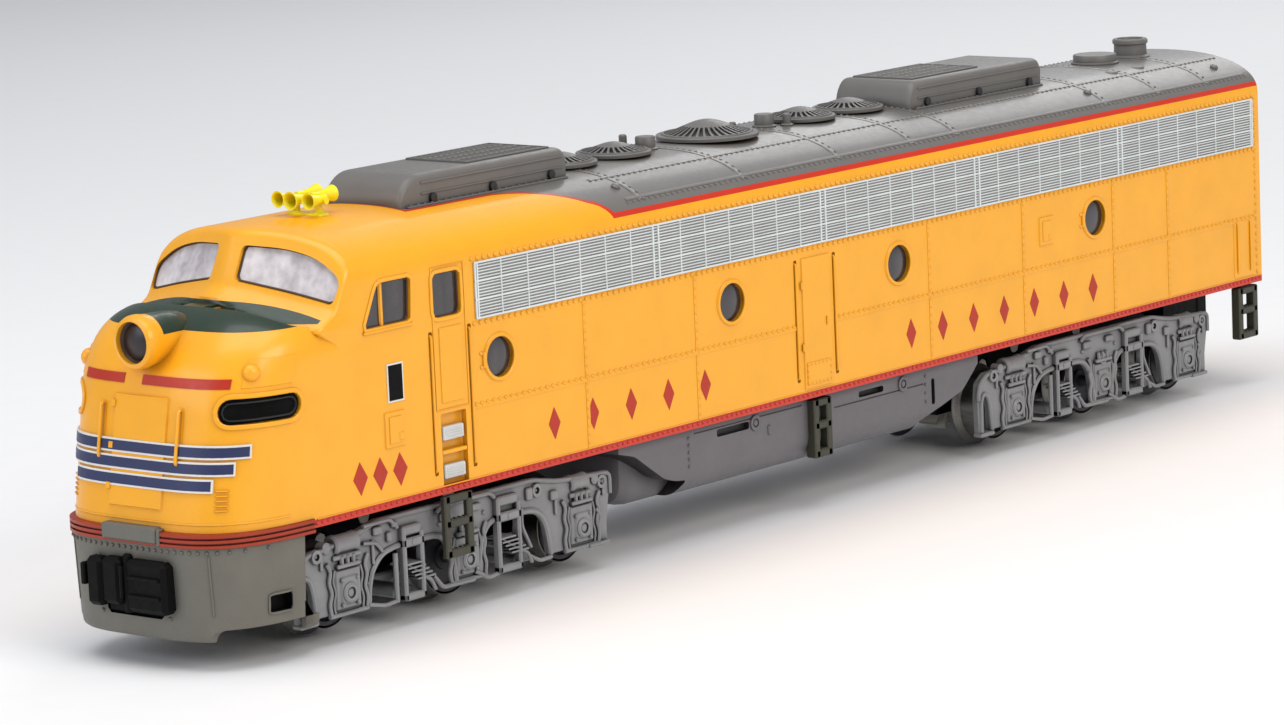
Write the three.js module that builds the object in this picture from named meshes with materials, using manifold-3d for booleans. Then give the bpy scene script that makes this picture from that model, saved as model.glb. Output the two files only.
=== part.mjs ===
// A 1:160 model of a streamlined twin-engine passenger diesel locomotive with six-wheel trucks.
// Millimetres. X runs across, Y along with the nose towards -Y, Z up. The outer group's origin lies
// under the middle of the whole model, level with the bottom of the wheel flanges. Inside it,
// heights are above the rail and lengths are from the point midway between the two truck pivots.
import * as THREE from "three";
import { mergeVertices } from "three/addons/utils/BufferGeometryUtils.js";
import Module from "manifold-3d";

const wasm = await Module();
wasm.setup();

// ---- Driving dimensions ----
const FLANGE_DEPTH = 0.55;
const MID_TO_CENTRE = 1.4;
const TRUCK_Y = 40.95;
const TRUCK_ENDS = { front: -1, rear: 1 };
const SIDES = { left: 1, right: -1 };

const HALF_WIDTH = 9.35;
const WALL = 0.9;
const GAP = 0.3;
const SILL_Z = 8.45;
const SHOULDER_Z = 25.2;
const ROOF_Z = 28.7;
const ROOF_POWER = 2.3;
const REAR_Y = 64.1;
const CAB_FRONT_Y = -57.6;

const NOSE_ROOT_Y = -55;
const NOSE_DEPTH = 11.9;
const NOSE_POWER = 3.8;
const NOSE_LEAN = 0.18;
const NOSE_BACK_Y = -53;
const WINDSHIELD = { y: -57, z: 24.63, slope: 0.5, sweep: 0.275 };
const HEADLIGHT = { z: 22.1, hole: 1.5, rim: 1.9, face: -65.9 };
const ANTICLIMBER = { half: 9.55, depth: 12.3, back: -58.4, top: 9.2 };
const PORTHOLES = { z: 17.5, radius: 1.45, at: [-37.95, -10.8, 10.7, 38.4] };
const NUMBER_BOARD = { x: 8.31, y: -61.97, z: 17.45, length: 5.2, height: 1.7, turn: 0.451 };
const WINDSHIELD_PANE = [[1.4, 25.1], [8.4, 23.8], [8.4, 25.5], [7.6, 26.3], [1.4, 27.5]];
const SIDE_WINDOWS = {
  cab: [[-52.2, 21.6], [-47.4, 21.6], [-47.2, 24.7], [-50.7, 24.7]],
  door: [[-44.9, 21.3], [-41.9, 21.3], [-41.9, 24.5], [-44.9, 24.5]],
};
const LADDER = { depth: 0.5, front: -44.65, rear: -41.9, bottom: 9.6, top: 14.3 };

const ROOF_SEAT = ROOF_Z + 0.1;
const ROOF_HATCHES = { front: [-41.8, -23.2], rear: [20.3, 39] };
const HATCH = { half: 3.8, top: 30.95, bevel: 0.7 };
const ROOF_FANS = [
  { y: -19.4, radius: 2.9, top: 29.8 },
  { y: -13, radius: 2.95, top: 29.8 },
  { y: -1.4, radius: 4.1, top: 30.2 },
  { y: 10.6, radius: 2.9, top: 29.8 },
  { y: 17, radius: 2.95, top: 29.8 },
];
const ROOF_STUBS = [
  { y: -9.1, radius: 0.8 },
  { y: 5.9, radius: 0.8 },
  { y: 52.7, radius: 1.9 },
];
const ROOF_STUB_TOP = 29.6;
const STACK = { y: 58.2, base: 1.75, radius: 1.55, top: 30.3, bore: 1.1, floor: 29.6 };
const HORN = {
  y: -47.2,
  z: 29.95,
  throat: 0.28,
  mouth: 0.72,
  bells: [
    { x: -1.5, facing: -1, length: 2.2 },
    { x: 0, facing: -1, length: 2.6 },
    { x: 1.5, facing: -1, length: 2.2 },
    { x: -0.75, facing: 1, length: 2 },
    { x: 0.75, facing: 1, length: 2 },
  ],
};

const PILOT = { bottom: 1.4, top: 8.15, deck: 7.35, back: -59.3, wall: 0.6, cutaway: -63.5 };
const STEPS = {
  front: { inner: 9.2, from: -44.6, to: -41.3, bottom: 3.7, top: 8.3 },
  middle: { inner: 8.8, from: -0.4, to: 1.9, bottom: 3.5, top: 8.2 },
  rear: { inner: 8.8, from: 61, to: 64, bottom: 3.6, top: 8.2 },
};
const TANK = { half: 8.5, bottom: 3.1, top: 8.2, front: -16, rear: 14, round: 2 };
const LIGHT_BOARD = { half: 4.6, front: -44, rear: 50, bottom: 20.3, top: 21.1 };
const LIGHT_PIPE = { half: 1, front: -62.5, rear: -44.3, bottom: 20.9, top: 22.6 };

const DRIVE_Z = 11.6;
const SHAFT_RADIUS = 0.75;
const SHAFT_HOLE = SHAFT_RADIUS + GAP;
const MOTOR = { from: -9, to: 7, half: 5, bottom: 7.1, top: 16.1, bore: 3.8 };
const FLYWHEEL = { radius: 4.2, length: 5, gap: 0.8 };
const CUP = { radius: 1.6, length: 2.5 };
const WORM = { radius: 1.6, tip: 1.9, root: 1.15, half: 3.8 };

const GEAR_MODULE = 0.4;
const GEAR_TEETH = 12;
const AXLE_GEAR_TEETH = 10;
const GEAR_RADIUS = (GEAR_MODULE * GEAR_TEETH) / 2;
const AXLE_GEAR_RADIUS = (GEAR_MODULE * AXLE_GEAR_TEETH) / 2;
const WORM_GEAR_Z = DRIVE_Z - WORM.radius - GEAR_RADIUS;
const FIRST_IDLER_DROP = THREE.MathUtils.degToRad(15);

const AXLE_PITCH = 12.95;
const WHEEL_RADIUS = 2.86;
const AXLE_Z = WHEEL_RADIUS;
const CHASSIS = { inner: 0.3, outer: 6.2, bottom: 9, top: 20, front: -50, rear: 57 };
const TRUCK_HOLE = 4.5;
const SCREWS = { front: -29, rear: 26 };
const SCREW_Z = 17.6;
const COUPLER_PIVOT_Y = 60.4;
const COUPLER_Z = 5.3;

const FINISHES = {
  yellow: [0xf4b03c, 0.35, 0],
  grey: [0x77736f, 0.5, 0],
  truckGrey: [0x9d9ba3, 0.5, 0],
  tankGrey: [0x77747a, 0.5, 0],
  olive: [0x6e6a60, 0.5, 0],
  black: [0x1c1c1e, 0.5, 0],
  clear: [0xcfd8dc, 0.08, 0],
  horn: [0xe8dc3a, 0.4, 0],
  cast: [0x8b8d90, 0.45, 0.9],
  steel: [0xb4b6b8, 0.3, 1],
  brass: [0xc29a4b, 0.3, 1],
  nylon: [0xd9d6cb, 0.55, 0],
  board: [0x2d6a3f, 0.5, 0],
};

// ---- Geometry helpers ----
const WELD = 1e-4;
const AXIS_X = new THREE.Vector3(1, 0, 0);
const AXIS_Y = new THREE.Vector3(0, 1, 0);
const AXIS_Z = new THREE.Vector3(0, 0, 1);
const EXTRUDE_BASIS = {
  x: new THREE.Matrix4().makeBasis(AXIS_Y, AXIS_Z, AXIS_X),
  y: new THREE.Matrix4().makeBasis(AXIS_X, AXIS_Z, AXIS_Y.clone().negate()),
  z: new THREE.Matrix4(),
};
const LATHE_BASIS = {
  x: new THREE.Matrix4().makeRotationZ(-Math.PI / 2),
  y: new THREE.Matrix4(),
  z: new THREE.Matrix4().makeRotationX(Math.PI / 2),
};

// Evenly spaced numbers from 0 to 1, both ends included.
const steps = (count) => Array.from({ length: count + 1 }, (_, i) => i / count);

// A signed power of 2/n, which turns a sine or cosine into a superellipse's coordinate.
const squared = (value, n) => Math.sign(value) * Math.abs(value) ** (2 / n);

// A manifold solid from points and triangle corners, turned outwards if it came inside out.
function closed(points, corners) {
  const make = (list) =>
    new wasm.Manifold(
      new wasm.Mesh({
        numProp: 3,
        vertProperties: new Float32Array(points),
        triVerts: new Uint32Array(list),
      }),
    );
  const made = make(corners);
  return made.volume() > 0 ? made : make(corners.slice().reverse());
}

// A manifold solid from a three.js geometry.
function solid(geometry) {
  const bare = geometry.index ? geometry.toNonIndexed() : geometry.clone();
  bare.deleteAttribute("normal");
  bare.deleteAttribute("uv");
  const merged = mergeVertices(bare, WELD);
  const index = merged.index.array;
  const corners = [];
  for (let i = 0; i < index.length; i += 3) {
    const [a, b, c] = index.slice(i, i + 3);
    if (a !== b && b !== c && c !== a) corners.push(a, b, c);
  }
  return closed(merged.attributes.position.array, corners);
}

const join = (...solids) => solids.reduce((all, next) => all.add(next));
const cut = (base, ...tools) => tools.reduce((left, tool) => left.subtract(tool), base);

// A box between two values on each axis, in either order.
function block(x0, x1, y0, y1, z0, z1) {
  const shape = new THREE.BoxGeometry(Math.abs(x1 - x0), Math.abs(y1 - y0), Math.abs(z1 - z0));
  return solid(shape.translate((x0 + x1) / 2, (y0 + y1) / 2, (z0 + z1) / 2));
}

// A block centred across the model.
const slab = ({ half, front, rear, bottom, top }) => block(-half, half, front, rear, bottom, top);

// An outline drawn across an axis and extruded along it: (y, z) for x, (x, z) for y, (x, y) for z.
function prism(axis, outline, a, b) {
  const low = Math.min(a, b);
  const high = Math.max(a, b);
  const shape = new THREE.Shape(outline.map(([u, v]) => new THREE.Vector2(u, v)));
  const made = new THREE.ExtrudeGeometry(shape, { depth: high - low, bevelEnabled: false });
  made.applyMatrix4(EXTRUDE_BASIS[axis]);
  const shift = { x: [low, 0, 0], y: [0, high, 0], z: [0, 0, low] }[axis];
  return solid(made.translate(...shift));
}

// A regular polygon with one corner straight down, for round rods and holes.
function circle(u, v, radius, sides = 12) {
  return steps(sides)
    .slice(1)
    .map((t) => 2 * Math.PI * t - Math.PI / 2)
    .map((angle) => [u + radius * Math.cos(angle), v + radius * Math.sin(angle)]);
}

const rod = (axis, u, v, radius, a, b, sides) => prism(axis, circle(u, v, radius, sides), a, b);

// A turned shape about an axis, from [radius, distance] pairs that start and end on it.
function turned(axis, profile, sides = 24) {
  const shape = new THREE.LatheGeometry(profile.map(([r, d]) => new THREE.Vector2(r, d)), sides);
  return shape.applyMatrix4(LATHE_BASIS[axis]);
}

// A closed solid through rings of equal length, each a loop of [x, y, z] points.
function loft(rings, top = null) {
  const size = rings[0].length;
  const middle = (ring) => [0, 1, 2].map((k) => ring.reduce((sum, p) => sum + p[k], 0) / size);
  const points = rings.flat();
  const first = points.push(middle(rings[0])) - 1;
  const last = points.push(top ?? middle(rings.at(-1))) - 1;
  const corners = [];
  for (let i = 0; i < size; i += 1) {
    const next = (i + 1) % size;
    for (let ring = 0; ring + 1 < rings.length; ring += 1) {
      const base = ring * size;
      corners.push(base + i, base + next, base + size + i);
      corners.push(base + next, base + size + next, base + size + i);
    }
    const end = (rings.length - 1) * size;
    corners.push(next, i, first, end + i, end + next, last);
  }
  return closed(points.flat(), corners);
}

// Puts a solid or a three.js geometry into a group as a named mesh with its own material.
function put(group, name, shape, finish) {
  let geometry = shape;
  if (!shape.isBufferGeometry) {
    const mesh = shape.getMesh();
    geometry = new THREE.BufferGeometry();
    geometry.setAttribute("position", new THREE.BufferAttribute(mesh.vertProperties, mesh.numProp));
    geometry.setIndex(new THREE.BufferAttribute(mesh.triVerts, 1));
  }
  const [color, roughness, metalness] = FINISHES[finish];
  const made = new THREE.Mesh(
    geometry,
    new THREE.MeshStandardMaterial({ color, roughness, metalness }),
  );
  made.name = name;
  group.add(made);
}

// ---- Body shell ----
const ROOF_STEPS = 14;
const NOSE_STEPS = 16;
const CUT_BELOW = 5;

// The body's cross-section in X and Z, a given thickness inside the outer face.
function bodySection(inset, bottom) {
  const half = HALF_WIDTH - inset;
  const rise = ROOF_Z - SHOULDER_Z - inset;
  const arch = steps(ROOF_STEPS).map((t) => [
    half * squared(Math.cos(Math.PI * t), ROOF_POWER),
    SHOULDER_Z + rise * squared(Math.sin(Math.PI * t), ROOF_POWER),
  ]);
  return [[half, bottom], ...arch, [-half, bottom]];
}

// One horizontal ring of the nose plan: half an ellipse-like curve closed across the back.
function planRing(half, depth, z, back = NOSE_BACK_Y) {
  const curve = steps(NOSE_STEPS).map((t) => [
    half * squared(Math.cos(Math.PI * t), NOSE_POWER),
    NOSE_ROOT_Y - depth * squared(Math.sin(Math.PI * t), NOSE_POWER),
    z,
  ]);
  return [...curve, [-half, back, z], [half, back, z]];
}

// The nose: upright below, rounded over more at the front than at the cheeks, leaning back a little.
function nose(inset, bottom) {
  const levels = [null, ...steps(6)];
  const ring = levels.map((level) => {
    const point = (t) => {
      const front = Math.sin(Math.PI * t) ** 2;
      const top = 23.8 + 0.5 * front - inset;
      const angle = ((level ?? 0) * Math.PI) / 2;
      const z = level === null ? bottom : top - (2.4 + 3.4 * front) * (1 - Math.sin(angle));
      const back = level === null ? 0 : NOSE_LEAN * front * (z - SILL_Z);
      const tuck = inset + back + (1.6 + 3.9 * front) * (1 - Math.cos(angle));
      return [
        (HALF_WIDTH - tuck) * squared(Math.cos(Math.PI * t), NOSE_POWER),
        NOSE_ROOT_Y - (NOSE_DEPTH - tuck) * squared(Math.sin(Math.PI * t), NOSE_POWER),
        z,
      ];
    };
    const curve = steps(NOSE_STEPS).map(point);
    const [x, , z] = curve[0];
    return [...curve, [-x, NOSE_BACK_Y, z], [x, NOSE_BACK_Y, z]];
  });
  return loft(ring, [0, WINDSHIELD.y, 24.9 - inset]);
}

// Everything ahead of the swept, sloping windshield plane moved back by a distance.
function aheadOfWindshield(shift) {
  const reach = 12;
  const far = -80;
  const ring = (z) => {
    const centre = WINDSHIELD.y + shift + WINDSHIELD.slope * (z - WINDSHIELD.z);
    const side = centre + WINDSHIELD.sweep * reach;
    return [[-reach, side], [0, centre], [reach, side], [reach, far], [-reach, far]].map(
      ([x, y]) => [x, y, z],
    );
  };
  return loft([ring(20), ring(32)]);
}

// The number board's pocket, plate and backing are boxes turned to follow the nose's side.
function turnedBlock(side, length, height, outer, inner) {
  const board = NUMBER_BOARD;
  const shape = new THREE.BoxGeometry(outer - inner, length, height);
  shape.translate((outer + inner) / 2, 0, 0);
  shape.rotateZ(-side * board.turn + (side < 0 ? Math.PI : 0));
  return solid(shape.translate(side * board.x, board.y, board.z));
}

// Windows, portholes, the door recess and the ladder recess on one side.
function sideCuts(side) {
  const inside = side * (HALF_WIDTH - 2);
  const outside = side * (HALF_WIDTH + 1);
  const glass = Object.values(SIDE_WINDOWS).map((outline) => prism("x", outline, inside, outside));
  const portholes = PORTHOLES.at.map((y) =>
    rod("x", y, PORTHOLES.z, PORTHOLES.radius, inside, outside),
  );
  const { depth, front, rear, bottom, top } = LADDER;
  const recess = block(side * (HALF_WIDTH - depth), outside, front, rear, bottom, top);
  const pane = WINDSHIELD_PANE.map(([x, z]) => [side * x, z]);
  const windshield = prism("y", pane, CAB_FRONT_Y - 3, CAB_FRONT_Y + 7);
  return [...glass, ...portholes, recess, windshield];
}

function bodyShell() {
  const band = ANTICLIMBER;
  const main = prism("y", bodySection(0, SILL_Z), CAB_FRONT_Y, REAR_Y);
  const anticlimber = cut(
    loft([planRing(band.half, band.depth, SILL_Z), planRing(band.half, band.depth, band.top)]),
    block(-12, 12, band.back, 0, 0, 12),
  );
  const stubs = ROOF_STUBS.map(({ y, radius }) =>
    rod("z", 0, y, radius, SHOULDER_Z, ROOF_STUB_TOP),
  );
  const bezel = rod("y", 0, HEADLIGHT.z, HEADLIGHT.rim, HEADLIGHT.face, NOSE_ROOT_Y);
  const outer = join(cut(main, aheadOfWindshield(0)), nose(0, SILL_Z), anticlimber, bezel, ...stubs);
  const low = SILL_Z - CUT_BELOW;
  const cabin = cut(
    prism("y", bodySection(WALL, low), CAB_FRONT_Y, REAR_Y - WALL),
    aheadOfWindshield(WALL),
  );
  const hollow = cut(outer, cabin, nose(WALL, low));
  const light = rod("y", 0, HEADLIGHT.z, HEADLIGHT.hole, -80, NOSE_ROOT_Y);
  const board = NUMBER_BOARD;
  const pads = Object.values(SIDES).map((side) =>
    turnedBlock(side, board.length + 1.6, board.height + 1.4, -0.9, -1.9),
  );
  const pockets = Object.values(SIDES).map((side) =>
    turnedBlock(side, board.length + 2 * GAP, board.height + 2 * GAP, 2, -1.2),
  );
  const cuts = Object.values(SIDES).flatMap(sideCuts);
  return cut(join(hollow, ...pads), light, ...pockets, ...cuts);
}

// A V-shaped strip of clear plastic just behind the windshield openings.
function windshieldGlazing() {
  const outside = WALL + GAP;
  const slab = cut(block(-8, 8, -60, -52.2, 23.2, 27.2), aheadOfWindshield(outside));
  const strip = slab.intersect(aheadOfWindshield(outside + 0.5));
  return strip.intersect(prism("y", bodySection(WALL + GAP, 20), -60, -50));
}

// A long clear strip behind the portholes, with a raised end behind the cab windows.
function sideGlazing(side) {
  const inner = side * (HALF_WIDTH - WALL - GAP - 0.4);
  const outer = side * (HALF_WIDTH - WALL - GAP);
  return join(
    block(inner, outer, -40.4, 40.8, 15.4, 19.6),
    block(inner, outer, -43.4, -39.6, 18.6, 22),
    block(inner, outer, -51.9, -41.4, 20.9, 25.1),
  );
}

// ---- Roof pieces ----
function roofHatch([from, to]) {
  const { half, top, bevel } = HATCH;
  const section = [
    [-half, ROOF_SEAT],
    [half, ROOF_SEAT],
    [half, top - bevel],
    [half - bevel, top],
    [bevel - half, top],
    [-half, top - bevel],
  ];
  return prism("y", section, from, to);
}

// A domed fan: a thin flange on the roof with a shallow dome over the blades.
function roofFan({ y, radius, top }) {
  const flange = ROOF_SEAT + 0.3;
  const profile = [
    [0, ROOF_SEAT],
    [radius, ROOF_SEAT],
    [radius, flange],
    [radius * 0.88, flange + 0.1],
    [radius * 0.5, top - 0.3],
    [radius * 0.25, top - 0.05],
    [0, top],
  ];
  return turned("z", profile, 16).translate(0, y, 0);
}

function steamStack() {
  const { y, base, radius, top, bore, floor } = STACK;
  const profile = [
    [0, ROOF_SEAT],
    [base, ROOF_SEAT],
    [radius, ROOF_SEAT + 0.3],
    [radius, top],
    [bore, top],
    [bore, floor],
    [0, floor],
  ];
  return turned("z", profile, 12).translate(0, y, 0);
}

// Five trumpets on one bar: three face forwards and two face back.
function airHorn() {
  const { y, z, throat, mouth } = HORN;
  const bells = HORN.bells.map(({ x, facing, length }) => {
    const profile = [
      [0, 0],
      [throat, 0],
      [throat, 0.6 * length],
      [mouth, length],
      [0, length - 0.3],
    ];
    const shape = turned("y", profile, 8);
    if (facing < 0) shape.rotateZ(Math.PI);
    return solid(shape.translate(x, y, z));
  });
  const bar = block(-2, 2, y - 0.4, y + 0.4, z - 0.3, z + 0.25);
  const foot = rod("z", 0, y, 0.45, ROOF_SEAT, z, 10);
  return join(bar, foot, ...bells);
}

// ---- Pilot, couplers, steps and tank ----
function pilot() {
  const { bottom, top, deck, back, wall, cutaway } = PILOT;
  const foot = { half: 9, depth: 12 };
  const skin = (inset, z0, z1) =>
    loft([
      planRing(foot.half - inset, foot.depth - inset, z0),
      planRing(HALF_WIDTH - inset, foot.depth + 0.2 - inset, z1),
    ]);
  const cutaways = Object.values(SIDES).map((side) =>
    block(7 * side, 12 * side, cutaway, back, 0, 3.4),
  );
  return cut(
    skin(0, bottom, top),
    skin(wall, bottom - 1, deck),
    block(-12, 12, back, 0, 0, 12),
    block(-2.8, 2.8, -70, -60, 2.9, deck - 0.4),
    ...cutaways,
  );
}

// The plain knuckle shared by both couplers, pointing to -Y from y = 0.
function knuckle(reach) {
  return [
    [-1.3, 0],
    [1.3, 0],
    [1.7, -1.1],
    [1.7, -reach],
    [0.5, -reach],
    [0.3, 0.8 - reach],
    [-0.4, 0.7 - reach],
    [-0.9, -reach],
    [-1.7, 0.6 - reach],
  ];
}

function frontCoupler() {
  const face = -66.9;
  const reach = 3;
  const head = knuckle(reach).map(([x, y]) => [x, face + y]);
  return join(
    prism("z", head, COUPLER_Z - 1.4, COUPLER_Z + 1.4),
    block(-1.3, 1.3, face, -62.5, COUPLER_Z - 0.8, COUPLER_Z + 0.8),
    block(-2.2, 2.2, -64.9, -63.2, COUPLER_Z - 1.6, COUPLER_Z + 1.6),
  );
}

function rearCoupler() {
  const face = 64.4;
  const reach = 2.7;
  const head = knuckle(reach).map(([x, y]) => [-x, face - y]);
  const shank = join(
    prism("z", head, COUPLER_Z - 1.4, COUPLER_Z + 1.4),
    block(-0.8, 0.8, COUPLER_PIVOT_Y, face, COUPLER_Z - 0.5, COUPLER_Z + 0.5),
    rod("z", 0, COUPLER_PIVOT_Y, 1.3, COUPLER_Z - 0.5, COUPLER_Z + 0.5),
  );
  return cut(shank, rod("z", 0, COUPLER_PIVOT_Y, 0.75, 0, 12));
}

// The draft box the rear coupler swings in, hung from the chassis and open to the rear.
function couplerPocket() {
  const box = block(-2.9, 2.9, 58, 63.2, COUPLER_Z - 1.4, COUPLER_Z + 1.4);
  const room = block(-2.3, 2.3, 58.6, 64, COUPLER_Z - 0.7, COUPLER_Z + 0.7);
  const post = rod("z", 0, COUPLER_PIVOT_Y, 0.45, COUPLER_Z - 1.2, COUPLER_Z + 1.2, 12);
  const hanger = block(-1.8, 1.8, 58, 61, COUPLER_Z + 1.2, CHASSIS.bottom + 3);
  return join(cut(box, room), post, hanger);
}

// A stirrup of two treads hung in a frame.
function sideSteps(side, { inner, from, to, bottom, top }) {
  const rail = 0.5;
  const thick = 0.4;
  const middle = (bottom + top) / 2;
  const frame = block(side * inner, side * (inner + thick), from, to, bottom, top);
  const window = (low, high) =>
    block(side * (inner - 1), side * (inner + 1), from + rail, to - rail, low, high);
  return cut(frame, window(bottom + rail, middle - 0.2), window(middle + 0.2, top - rail));
}

function fuelTank() {
  const { half, bottom, top, front, rear, round } = TANK;
  const corner = (sign) =>
    steps(4).map((t) => {
      const angle = (Math.PI / 2) * (sign > 0 ? t : 1 - t);
      return [
        sign * (half - round + round * Math.sin(angle)),
        bottom + round - round * Math.cos(angle),
      ];
    });
  const section = [[-half, top], ...corner(-1), ...corner(1), [half, top]];
  const body = prism("y", section, front, rear);
  const frontArc = steps(8).map((t) => {
    const angle = (t * Math.PI) / 2;
    return [front - 7.6 * Math.cos(angle), top - 3.8 * Math.sin(angle)];
  });
  const frontSkirt = [[front + 1, top], ...frontArc, [front + 1, top - 3.8]];
  const rearSkirt = [[rear - 1, top], [20.2, top], [20, 7.3], [15, 4.6], [rear - 1, 4.6]];
  const skirts = Object.values(SIDES).flatMap((side) =>
    [frontSkirt, rearSkirt].map((outline) =>
      prism("x", outline, side * (half - 0.6), side * half),
    ),
  );
  const deck = block(0.3 - half, half - 0.3, -22, 19.6, top - 0.8, top);
  const core = block(-5.8, 5.8, -21.2, front + 1, 2.9, top - 0.1);
  const room = block(-6.2, 6.2, front + WALL, rear - WALL, bottom + 1.2, top + 1);
  return cut(join(body, deck, core, ...skirts), room);
}

// ---- Chassis, motor and drive line ----
function chassisHalf(side) {
  const { inner, outer, bottom, top, front, rear } = CHASSIS;
  const outline = [
    [front, bottom],
    [rear, bottom],
    [rear, 15],
    [rear - 6, top],
    [front + 5, top],
    [front, 15],
  ];
  const flywheelRoom = FLYWHEEL.radius + 0.4;
  const flywheelReach = FLYWHEEL.gap + FLYWHEEL.length + 0.6;
  const cupReach = flywheelReach + CUP.length + 0.4;
  const bays = [
    rod("y", 0, DRIVE_Z, SHAFT_HOLE, -100, 100, 12),
    rod("y", 0, DRIVE_Z, flywheelRoom, MOTOR.from - flywheelReach, MOTOR.to + flywheelReach, 20),
    rod("y", 0, DRIVE_Z, CUP.radius + 0.4, MOTOR.from - cupReach, MOTOR.to + cupReach, 16),
    block(-5.4, 5.4, MOTOR.from - GAP, MOTOR.to + GAP, 0, MOTOR.top + GAP),
    block(-4.3, 4.3, MOTOR.from - flywheelReach, MOTOR.to + flywheelReach, 0, DRIVE_Z),
  ];
  const wormReach = WORM.half + 0.6;
  const wells = Object.values(TRUCK_ENDS).flatMap((end) => {
    const y = end * TRUCK_Y;
    return [
      rod("z", 0, y, TRUCK_HOLE, bottom - 1, bottom + 1.2, 20),
      rod("z", 0, y, 2 * TRUCK_HOLE, bottom - 1, bottom + 0.6, 20),
      rod("y", 0, DRIVE_Z, WORM.tip + 0.4, y - wormReach, y + wormReach, 16),
      block(-2.3, 2.3, y - wormReach, y + wormReach, 0, DRIVE_Z),
    ];
  });
  const holes = Object.values(SCREWS).flatMap((y) => [
    rod("x", y, SCREW_Z, 1.1, -20, 20, 12),
    rod("x", y, SCREW_Z, 1.9, side * (outer - 1), side * 20, 12),
  ]);
  return cut(prism("x", outline, side * inner, side * outer), ...bays, ...wells, ...holes);
}

function chassisScrew(y) {
  const shank = rod("x", y, SCREW_Z, 0.8, -5.9, 5.9, 12);
  const heads = Object.values(SIDES).map((side) =>
    rod("x", y, SCREW_Z, 1.5, side * 5.5, side * 6.2, 12),
  );
  const slot = block(5.9, 7, y - 2, y + 2, SCREW_Z - 0.2, SCREW_Z + 0.2);
  return cut(join(shank, ...heads), slot);
}

function motorCan() {
  const { from, to, half, bottom, top, bore } = MOTOR;
  const bevel = 1.4;
  const section = [
    [-half, bottom],
    [half, bottom],
    [half, top - bevel],
    [half - bevel, top],
    [bevel - half, top],
    [-half, top - bevel],
  ];
  return cut(
    prism("y", section, from, to),
    rod("y", 0, DRIVE_Z, bore, from + 1, to - 1, 20),
    rod("y", 0, DRIVE_Z, SHAFT_HOLE, from - 1, to + 1, 12),
  );
}

// The armature turns inside the can, and its shaft stands out at both ends.
function armature() {
  const reach = FLYWHEEL.gap + FLYWHEEL.length + 0.2;
  const profile = [
    [0, MOTOR.from - reach],
    [SHAFT_RADIUS, MOTOR.from - reach],
    [SHAFT_RADIUS, MOTOR.from + 3],
    [3.4, MOTOR.from + 3],
    [3.4, MOTOR.to - 4],
    [1.6, MOTOR.to - 4],
    [1.6, MOTOR.to - 1.6],
    [SHAFT_RADIUS, MOTOR.to - 1.6],
    [SHAFT_RADIUS, MOTOR.to + reach],
    [0, MOTOR.to + reach],
  ];
  return turned("y", profile, 16).translate(0, 0, DRIVE_Z);
}

function flywheel(end) {
  const near = (end < 0 ? MOTOR.from : MOTOR.to) + end * FLYWHEEL.gap;
  const wheel = rod("y", 0, DRIVE_Z, FLYWHEEL.radius, near, near + end * FLYWHEEL.length, 24);
  return cut(wheel, rod("y", 0, DRIVE_Z, SHAFT_HOLE, -100, 100, 12));
}

// A one-start worm on a long shaft that ends in a coupling cup next to the flywheel.
function wormShaft(end) {
  const pitch = Math.PI * GEAR_MODULE;
  const centre = end * TRUCK_Y;
  const flywheelEnd = (end < 0 ? MOTOR.from : MOTOR.to) + end * (FLYWHEEL.gap + FLYWHEEL.length);
  const cupStart = flywheelEnd + end * 0.5;
  const rows = Math.round((2 * WORM.half) / (pitch / 5));
  const around = 12;
  const ringAt = (y, radiusOf) =>
    steps(around)
      .slice(1)
      .map((t) => {
        const turn = 2 * Math.PI * t;
        const radius = radiusOf(turn);
        return [radius * Math.sin(turn), y, DRIVE_Z + radius * Math.cos(turn)];
      });
  // The thread's height where a ridge lies at the bottom of the worm, level with the truck pivot.
  const thread = (y) => (turn) => {
    const along = (y - centre) / pitch - (turn - Math.PI) / (2 * Math.PI);
    const off = Math.abs(along - Math.round(along));
    const rise = THREE.MathUtils.clamp((0.22 - off) / 0.12, 0, 1);
    return WORM.root + (WORM.tip - WORM.root) * rise;
  };
  const ridges = steps(rows).map((t) => {
    const y = centre - WORM.half + 2 * WORM.half * t;
    return ringAt(y, thread(y));
  });
  const mouth = cupStart + end * 1.8;
  const shaft = rod("y", 0, DRIVE_Z, SHAFT_RADIUS, mouth, centre + end * 7, 12);
  const cup = rod("y", 0, DRIVE_Z, CUP.radius, cupStart, cupStart + end * CUP.length, 12);
  const socket = rod("y", 0, DRIVE_Z, SHAFT_HOLE, cupStart - end, mouth, 12);
  return join(loft(ridges), shaft, cut(cup, socket));
}

// ---- Trucks ----

// A spur gear's outline in (y, z), with a tooth pointing along the phase angle.
function gearOutline(teeth, y, z, phase) {
  const radius = (GEAR_MODULE * teeth) / 2;
  const tip = radius + 0.36;
  const root = radius - 0.45;
  const tooth = (2 * Math.PI) / teeth;
  return steps(teeth)
    .slice(1)
    .flatMap((t) =>
      [
        [root, -0.25],
        [tip, -0.11],
        [tip, 0.11],
        [root, 0.25],
      ].map(([r, share]) => {
        const angle = phase + 2 * Math.PI * t + share * tooth;
        return [y + r * Math.cos(angle), z + r * Math.sin(angle)];
      }),
    );
}

// The phase that puts a gear's gap where its partner's tooth meets it.
function meshedPhase(fromTeeth, fromPhase, teeth, direction) {
  const partner = ((direction - fromPhase) * fromTeeth) / (2 * Math.PI);
  return direction + Math.PI - ((0.5 - partner) * 2 * Math.PI) / teeth;
}

// The worm gear stands with a gap under the worm's lowest ridge.
const WORM_GEAR = {
  y: 0,
  z: WORM_GEAR_Z,
  teeth: GEAR_TEETH,
  phase: Math.PI / 2 + Math.PI / GEAR_TEETH,
};

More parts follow.
